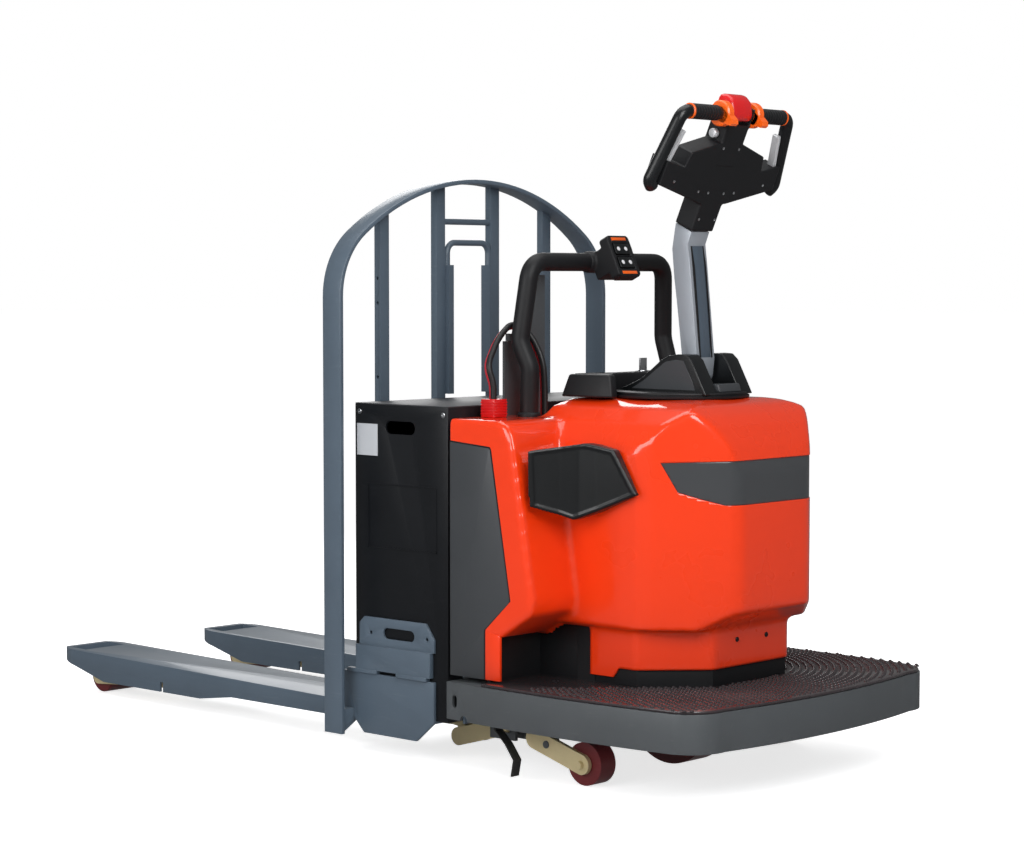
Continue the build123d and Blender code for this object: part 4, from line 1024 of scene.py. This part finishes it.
@dataclass
class Platform:
    """Skirt, rubber mat and stabilisers."""

    pitch: float = 15.0
    stud: float = 4.8
    rise: float = 4.4
    fan_centre: float = 560.0
    first_row: float = 180.0
    last_row: float = 620.0
    body: str = "chassis"

    def build(self) -> None:
        """Makes the platform's pieces."""
        LoadFrame.rounded("platform", SKIRT_PAINT, 2.0, self.body, "skirt_paint")
        LoadFrame.rounded("plinth", BLACK, 2.0, self.body, "black_plastic")
        LoadFrame.rounded("deck_mat", MAT, 2.4, self.body, "mat_rubber")
        self.studs()
        for node, finish in {"stabiliser_arm_right": ZINC, "stabiliser_arm_left": ZINC,
                             "stabiliser_wheel_right": WHEEL, "stabiliser_wheel_left": WHEEL,
                             "static_strap": STRAP, "chassis_frame": SKIRT_PAINT,
                             "hydraulic_unit": CAST, "motor_controller": BLACK}.items():
            paint(node, finish)

    def inside(self, x: float, y: float) -> bool:
        """Says where the mat is bare, clear of the hood and its own edge.

        Args:
            x: Millimetres behind the load face.
            y: Millimetres from the middle.

        Returns:
            True where a stud may stand.
        """
        y = abs(y)
        side = 434 - 14 - (x - 680) ** 2 / 6200
        front = 1054 - 14 - y * y / 3650
        corner = x > 960 and y > 330 and (x - 960) + (y - 330) > 118
        plinth = x < 740 and y < 250 or x < 850 and y < 250 - (x - 728) * 1.02
        wing = x < 500 and y > 388
        return x < front and y < side and not corner and not plinth and not wing and x > 470

    def studs(self) -> None:
        """Domed studs in rows that fan round the hood."""
        top = reach("deck_mat")[1].z
        seed = Shape()
        seed.lathe([(0, self.rise), (self.stud * 0.6, self.rise * 0.75), (self.stud, 0)],
                   at(0, 0, 0), Vector((0, 0, 1)), 8)
        unit = bpy.data.meshes.new("stud")
        seed.bm.to_mesh(unit)
        seed.bm.free()
        rows = Shape()
        radius = self.first_row
        while radius < self.last_row:
            count = int(math.tau * radius / self.pitch)
            for k in range(count):
                angle = math.tau * (k + 0.5 * (int(radius / self.pitch) % 2)) / count
                x, y = self.fan_centre + radius * math.cos(angle), radius * math.sin(angle)
                if not self.inside(x, y):
                    continue
                start = len(rows.bm.verts)
                rows.bm.from_mesh(unit)
                rows.bm.verts.ensure_lookup_table()
                bmesh.ops.translate(rows.bm, verts=rows.bm.verts[start:], vec=Vector((x, y, top)) / 1000)
            radius += self.pitch
        rows.finish("mat_studs", MAT, self.body, "mat_rubber", 30)


@dataclass
class Turret:
    """Steering cover with the two domes beside the tiller."""

    hub: float = 650.0
    rim: float = 145.0
    inner: float = 38.0
    outer: float = 80.0
    body: str = "drive_unit"

    def build(self) -> None:
        """Makes the cover, its seam, domes and screws."""
        low = reach("turret_cover")[0].z
        plate = Shape().lathe([(40, 0), (self.rim - 1, 0), (self.rim, 1.5), (self.rim, 5), (self.rim - 3, 6),
                               (self.rim - 3, 8), (self.rim - 1, 9), (self.rim - 2, 12), (self.rim - 8, 13.4),
                               (40, 13.4), (40, 0)], at(self.hub, 0, low), Vector((0, 0, 1)), 96)
        cover = plate.finish("turret_plate", BLACK, self.body, "black_plastic")
        dome = [(514, low + 8), (530, low + 13), (560, low + 22), (600, low + 38), (634, low + 62), (658, low + 80),
                (680, low + 90), (706, low + 93), (727, low + 92), (741, low + 80), (764, low + 38), (780, low + 8)]
        small = [(578, low + 18), (612, low + 36), (646, low + 60), (672, low + 77), (700, low + 81),
                 (720, low + 79), (742, low + 40), (752, low + 18)]
        domes = Shape()
        inset = Shape()
        for side in (-1, 1):
            domes.prism(dome, Axis.Y, *span(side, self.inner, self.outer))
            inset.prism(small, Axis.Y, *span(side, self.outer, self.outer + 0.8))
        domes.bevel(9, 5, 25).finish("turret_domes", BLACK_SMOOTH, self.body, "black_plastic")
        inset.bevel(0.5, 1).finish("turret_dome_insets", PANEL, self.body, "black_plastic")
        block = [(740, low + 13.4), (784, low + 13.4), (778, low + 31), (764, low + 31), (744, low + 24)]
        cap = Shape().prism(block, Axis.Y, -self.inner + 1, self.inner - 1).bevel(3, 3)
        cap.finish("turret_front_block", PANEL, self.body, "black_plastic")
        screws = Shape()
        for angle in (35, 145, 215, 325):
            a = math.radians(angle)
            screw(screws, at(self.hub + 128 * math.cos(a), 128 * math.sin(a), low + 13.4), Vector((0, 0, 1)), 4, 1.2)
        screws.finish("turret_screws", STEEL, self.body, "bright_steel")
        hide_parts("turret_cover")
        for node, finish in {"gear_case": CAST, "steering_column": BLACK, "drive_motor": CAST,
                             "drive_wheel": WHEEL}.items():
            paint(node, finish)


@dataclass
class Tiller:
    """Arm, head, handle loops and controls."""

    tilt: float = 24.0
    neck: Pair = (682.0, 1146.0)
    bar_up: float = 261.0
    bar_out: float = 8.0
    grip: float = 14.0
    body: str = "tiller"

    def head(self) -> Matrix:
        """Placement of the tilted head.

        Returns:
            The matrix from the head's own frame to the truck's.
        """
        turn = Matrix.Rotation(math.radians(self.tilt), 4, "Y")
        home = Matrix.Translation(at(self.neck[0], 0, self.neck[1]))
        back = Matrix.Translation(-Vector((LOAD_FACE, 0, 0)))
        return home @ turn @ back

    def build(self) -> None:
        """Makes the arm and everything on it."""
        self.arm()
        self.housing()
        self.loops()
        self.controls()

    def arm(self) -> None:
        """Bowed arm with a dark blue-grey strip of painted shade over its rider face."""
        LoadFrame.rounded("tiller_arm", ARM_SILVER, 4.0, self.body, "tiller_paint", 3)
        # thin dark sheet over the arm's rider face: painted shade of that face
        shade_strip = [(713, 872), (716, 872), (708, 967), (698, 1063), (692, 1108), (689, 1108), (695, 1062), (705, 966)]
        Shape().prism(shade_strip, Axis.Y, -17, 17).bevel(0.8, 2).finish("tiller_front_painted_shade", ARM_FRONT_SHADE, self.body,
                                                                   "tiller_paint")
        for side in (-1, 1):
            groove = [(x + 1.2, z) for x, z in shade_strip[1:4]] + [(x - 1, z) for x, z in shade_strip[4:]]
            line = Shape().prism(groove, Axis.Y, *span(side, 17.2, 21.5))
            line.finish(f"tiller_groove_{'lr'[side < 0]}", GAP, self.body, "black_plastic")

    def housing(self) -> None:
        """Moulded head with its neck, wings, seams and screws."""
        wing = [(36, 64), (48, 66), (192, 102), (190, 156), (130, 143), (122, 176), (40, 200)]
        outline = wing + [(-y, z) for y, z in reversed(wing)]
        piece = scrap(Shape().prism(outline, Axis.X, -22, 24))
        carve(piece, Shape().prism(rect(-36, 36, 2, 242), Axis.X, -26, 24), Cut.JOIN)
        for cheek in (rect(-38, -34.4, 236, 279), rect(34.4, 38, 236, 279)):
            carve(piece, Shape().prism(cheek, Axis.X, -11, 24), Cut.JOIN)
        melt(piece, 1.9, 3)
        piece.data.transform(self.head())
        made = Shape.of(piece).finish("tiller_head_housing", BLACK, self.body, "black_plastic", 60)
        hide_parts("tiller_head")
        seams, screws = Shape(), Shape()
        for side in (-1, 1):
            for y, z in ((side * 26, 30), (side * 26, 90), (side * 60, 92), (side * 150, 112), (side * 26, 190)):
                screw(screws, at(24.2, y, z), Vector((1, 0, 0)), 3.2, 0.8)
        seams.prism(rect(-30, 30, 150, 152), Axis.X, 23.4, 24.4)
        seams.move(self.head()).finish("tiller_head_seam", GAP, self.body, "black_plastic")
        screws.move(self.head()).finish("tiller_head_screws", STEEL, self.body, "bright_steel")

    def loops(self) -> None:
        """Handle loops with soft grips and bright rings."""
        for name, side in SIDES.items():
            line = [at(self.bar_out, side * 38, self.bar_up), at(self.bar_out, side * 178, self.bar_up),
                    at(self.bar_out, side * 210, 106), at(self.bar_out, side * 196, 94)]
            bar = Shape().tube(rounded_line(line, 26), self.grip)
            made = bar.move(self.head()).finish(f"tiller_loop_{name}_bar", BLACK_SMOOTH, self.body,
                                                "black_plastic")
            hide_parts(f"tiller_loop_{name}")
            grip = Shape()
            flare = self.grip + 2.2
            profile = [(self.grip, 0), (flare, 1)]
            for k in range(9):
                base = 3 + k * 9
                profile += [(flare, base), (flare, base + 6), (flare - 1, base + 7.5)]
            profile += [(flare, 84), (self.grip, 85)]
            grip.lathe(profile, at(self.bar_out, side * 70, self.bar_up), Vector((0, side, 0)), 32)
            grip.move(self.head()).finish(f"tiller_grip_{name}", BLACK, self.body, "black_plastic")
            ring = Shape().lathe([(self.grip, 0), (self.grip + 2.6, 0.6), (self.grip + 2.6, 3.4), (self.grip, 4)],
                                 at(self.bar_out, side * 155, self.bar_up), Vector((0, side, 0)), 32)
            ring.move(self.head()).finish(f"grip_ring_{name}", ORANGE, self.body, "control_orange")

    def controls(self) -> None:
        """Throttle wings, safety button, horn buttons and speed paddles."""
        wings = Shape()
        for side in (-1, 1):
            wings.lathe([(14.3, 0), (24, 0), (27, 3), (27, 17), (24, 20), (14.3, 20)],
                        at(self.bar_out, side * 41, self.bar_up), Vector((0, side, 0)), 40)
            wings.prism([(14, 246), (46, 248), (50, 254), (46, 262), (16, 274)], Axis.Y, *span(side, 41, 61))
        wings.move(self.head())
        throttle = wings.finish("throttle_wings", ORANGE, "throttle", "control_orange")
        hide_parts("throttle")
        for node, finish, slot, width in (("belly_button", RED, "safety_red", 9.0),
                                          ("horn_button_right", LIGHT, "control_grey", 2.0),
                                          ("horn_button_left", LIGHT, "control_grey", 2.0),
                                          ("speed_paddle_right", LIGHT, "control_grey", 2.5),
                                          ("speed_paddle_left", LIGHT, "control_grey", 2.5)):
            LoadFrame.rounded(node, finish, width, node, slot, 3)


@dataclass
class Console:
    """Grab bar, control pad, instrument cover, key, plug and leads."""

    tube: float = 20.0
    body: str = "chassis"

    def build(self) -> None:
        """Makes the console's pieces."""
        self.grab_bar()
        self.pad()
        LoadFrame.rounded("instrument_cover", BLACK, 6.0, self.body, "black_plastic", 4)
        self.cover_lines()
        for node, body, finish, slot in (("key_switch", "key_switch", STEEL, "bright_steel"),
                                         ("battery_connector", self.body, RED, "safety_red")):
            LoadFrame.rounded(node, finish, 1.2, body, slot)
        paint("cable_red", LEAD_RED)
        paint("cable_black", LEAD_BLACK)
        self.plug_ribs()

    def grab_bar(self) -> None:
        """Hoop with collars at its feet."""
        leg = [(418, 230, 745.6), (424, 233, 850), (401, 240, 905), (416, 222, 1075)]
        line = [at(x, -y, z) for x, y, z in leg] + [at(x, y, z) for x, y, z in reversed(leg)]
        hoop = Shape().tube(rounded_line(line, 45, 10), self.tube, 32)
        for side in (-1, 1):
            hoop.lathe([(0, 0), (25, 0), (25, 5), (21, 9), (0, 9)], at(418, side * 230, 745.4), Vector((0, 0, 1)), 32)
        piece = hoop.finish("grab_hoop", BLACK, self.body, "black_plastic")
        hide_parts("grab_bar")

    def pad(self) -> None:
        """Faceted control pad that flares into the bar, with two framed keys."""
        tilt = math.radians(65)
        turn = Matrix.Rotation(tilt, 4, "Y")
        home = Matrix.Translation(at(488, 0, 1089)) @ turn @ Matrix.Translation(-Vector((LOAD_FACE, 0, 0)))
        face = [(-49, -30), (-43, -36), (43, -36), (49, -30), (49, 30), (43, 36), (-43, 36), (-49, 30)]
        piece = scrap(Shape().prism(face, Axis.Z, -26, 0))
        carve(piece, Shape().prism(rect(-30, 30, -36, 36), Axis.Z, -64, -20), Cut.JOIN)
        for x in (-16, 16):
            carve(piece, Shape().prism(rect(x - 14, x + 14, -25.5, 25.5), Axis.Z, -10, 2), Cut.CUT)
        piece.data.transform(home)
        bar = Shape().lathe([(0, -46), (21, -46), (24, -38), (24, 38), (21, 46), (0, 46)], at(416, 0, 1075),
                            Vector((0, 1, 0)), 32)
        carve(piece, bar, Cut.JOIN)
        melt(piece, 1.8, 4)
        made = Shape.of(piece).finish("pad_body", BLACK, self.body, "black_plastic", 60)
        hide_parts("pad_housing")
        bars = Shape()
        for x in (-40, 40):
            bars.prism(rect(x - 3.5, x + 3.5, -24, 24), Axis.Z, -0.5, 0.7)
        bars.bevel(0.4, 2).move(home).finish("pad_bars", ORANGE, self.body, "control_orange")
        for name, x in (("upper", -16), ("lower", 16)):
            node = f"pad_key_{name}"
            LoadFrame.rounded(node, BLACK_SMOOTH, 1.2, node, "black_plastic", 3)
            marks = Shape()
            for y in (-12, 12):
                marks.lathe([(0, 0.4), (4.5, 0.4), (5, 0.1), (0, -0.3)], at(x, y, 1.5), Vector((0, 0, 1)), 20)
            marks.move(home).finish(f"pad_key_{name}_marks", WHITE, node, "control_grey")

    def cover_lines(self) -> None:
        """Raised outlines on the console's rear half."""
        high = reach("instrument_cover")[1]
        lines = Shape()
        for side in (-1, 1):
            y = side * 100
            for x0, x1, y0, y1 in ((470, 500, y - 40, y - 38), (470, 500, y + 38, y + 40),
                                   (470, 472, y - 40, y + 40), (498, 500, y - 40, y + 40)):
                if x1 < high.x:
                    lines.prism(rect(x0, x1, y0, y1), Axis.Z, high.z - 0.2, high.z + 0.8)
        lines.finish("console_outlines", BLACK, self.body, "black_plastic")

    def plug_ribs(self) -> None:
        """Ribs across the faces of the battery plug."""
        low, high = reach("battery_connector")
        ribs = Shape()
        for k in range(5):
            z = low.z + 6 + k * 6
            ribs.prism(rect(low.x - 0.8, high.x + 0.8, z, z + 3), Axis.Y, low.y - 0.8, high.y + 0.8)
        ribs.bevel(0.5, 1).finish("plug_ribs", RED, self.body, "safety_red")


class Studio:
    """Pale floor, soft light and the camera."""

    FLOOR_HALF = 60.0
    FILL = 0.34
    GLOSS_FILL = 0.16
    GLOW = 0.75
    LENS = 88.95
    SENSOR = 36.0
    EYE = (4062.2, -4214.6, 1040.8)
    TURN = math.radians(42.83)
    DIP = math.radians(3.51)

    def build(self) -> None:
        """Makes the stage."""
        bm = bmesh.new()
        bmesh.ops.create_grid(bm, x_segments=1, y_segments=1, size=self.FLOOR_HALF)
        mesh = bpy.data.meshes.new("floor")
        bm.to_mesh(mesh)
        bm.free()
        glow = SHOP.get(FLOOR).node_tree.nodes["Principled BSDF"]
        glow.inputs["Emission Color"].default_value = (1, 1, 1, 1)
        wires = Wiring(SHOP.get(FLOOR).node_tree)
        seen = wires.node("ShaderNodeLightPath")
        lit = wires.node("ShaderNodeMath", operation="MULTIPLY")
        lit.inputs[1].default_value = self.GLOW
        wires.join(seen.outputs["Is Camera Ray"], lit.inputs[0])
        wires.join(lit.outputs["Value"], glow.inputs["Emission Strength"])
        mesh.materials.append(SHOP.get(FLOOR))
        floor = bpy.data.objects.new("floor", mesh)
        bpy.context.scene.collection.objects.link(floor)
        floor.visible_glossy = False
        world = bpy.data.worlds.new("studio")
        bpy.context.scene.world = world
        world.use_nodes = True
        w = Wiring(world.node_tree)
        soft = world.node_tree.nodes["Background"]
        soft.inputs["Color"].default_value = (1, 1, 1, 1)
        near = w.node("ShaderNodeMapRange", in_To_Min=self.GLOSS_FILL, in_To_Max=self.FILL)
        seen = w.node("ShaderNodeBackground", in_Color=(1, 1, 1, 1), in_Strength=1.0)
        path = w.node("ShaderNodeLightPath")
        w.join(path.outputs["Is Diffuse Ray"], near.inputs["Value"])
        w.join(near.outputs["Result"], soft.inputs["Strength"])
        pick = w.node("ShaderNodeMixShader")
        w.join(path.outputs["Is Camera Ray"], pick.inputs[0])
        w.join(soft.outputs[0], pick.inputs[1])
        w.join(seen.outputs[0], pick.inputs[2])
        w.join(pick.outputs[0], world.node_tree.nodes["World Output"].inputs["Surface"])
        bpy.context.scene.view_settings.view_transform = "Standard"
        self.softbox("key", at(2600, -1400, 2100), at(600, 0, 500), 1.1, 1.6, 42)
        self.softbox("side", at(300, -3600, 1700), at(300, 0, 500), 2.6, 1.3, 48)
        self.softbox("overhead", at(300, 0, 3600), at(300, 0, 0), 3.2, 2.4, 52)
        self.softbox("rear", at(-2600, 2400, 2200), at(200, 0, 600), 2.0, 2.0, 40)

    @staticmethod
    def softbox(name: str, place: Vector, aim: Vector, wide: float, tall: float, power: float) -> None:
        """Adds a rectangular soft light.

        Args:
            name: Name of the light.
            place: Where it stands.
            aim: Point that it faces.
            wide: Width in metres.
            tall: Height in metres.
            power: Power in watts.
        """
        data = bpy.data.lights.new(name, "AREA")
        data.shape = "RECTANGLE"
        data.size = wide
        data.size_y = tall
        data.energy = power
        lamp = bpy.data.objects.new(name, data)
        lamp.location = place
        lamp.rotation_mode = "QUATERNION"
        lamp.rotation_quaternion = (aim - place).to_track_quat("-Z", "Y")
        bpy.context.scene.collection.objects.link(lamp)

    @classmethod
    def camera(cls) -> None:
        """Sets the camera at the rider's corner of the truck, about a metre up."""
        data = bpy.data.cameras.new("camera")
        data.sensor_fit = "HORIZONTAL"
        data.sensor_width = cls.SENSOR
        data.lens = cls.LENS
        data.clip_end = 100.0
        lens = bpy.data.objects.new("camera", data)
        lens.location = at(*cls.EYE)
        flat = math.cos(cls.DIP)
        aim = Vector((-math.sin(cls.TURN) * flat, math.cos(cls.TURN) * flat, -math.sin(cls.DIP)))
        lens.rotation_mode = "QUATERNION"
        lens.rotation_quaternion = aim.to_track_quat("-Z", "Y")
        bpy.context.scene.collection.objects.link(lens)
        bpy.context.scene.camera = lens


def main() -> None:
    """Builds the truck and the studio round it."""
    logging.basicConfig(level=logging.INFO)
    Studio.camera()
    Studio().build()
    for part in (LoadFrame(), Hood(), Platform(), Turret(), Tiller(), Console()):
        part.build()
    bpy.context.view_layer.update()


if __name__ == "__main__":
    main()
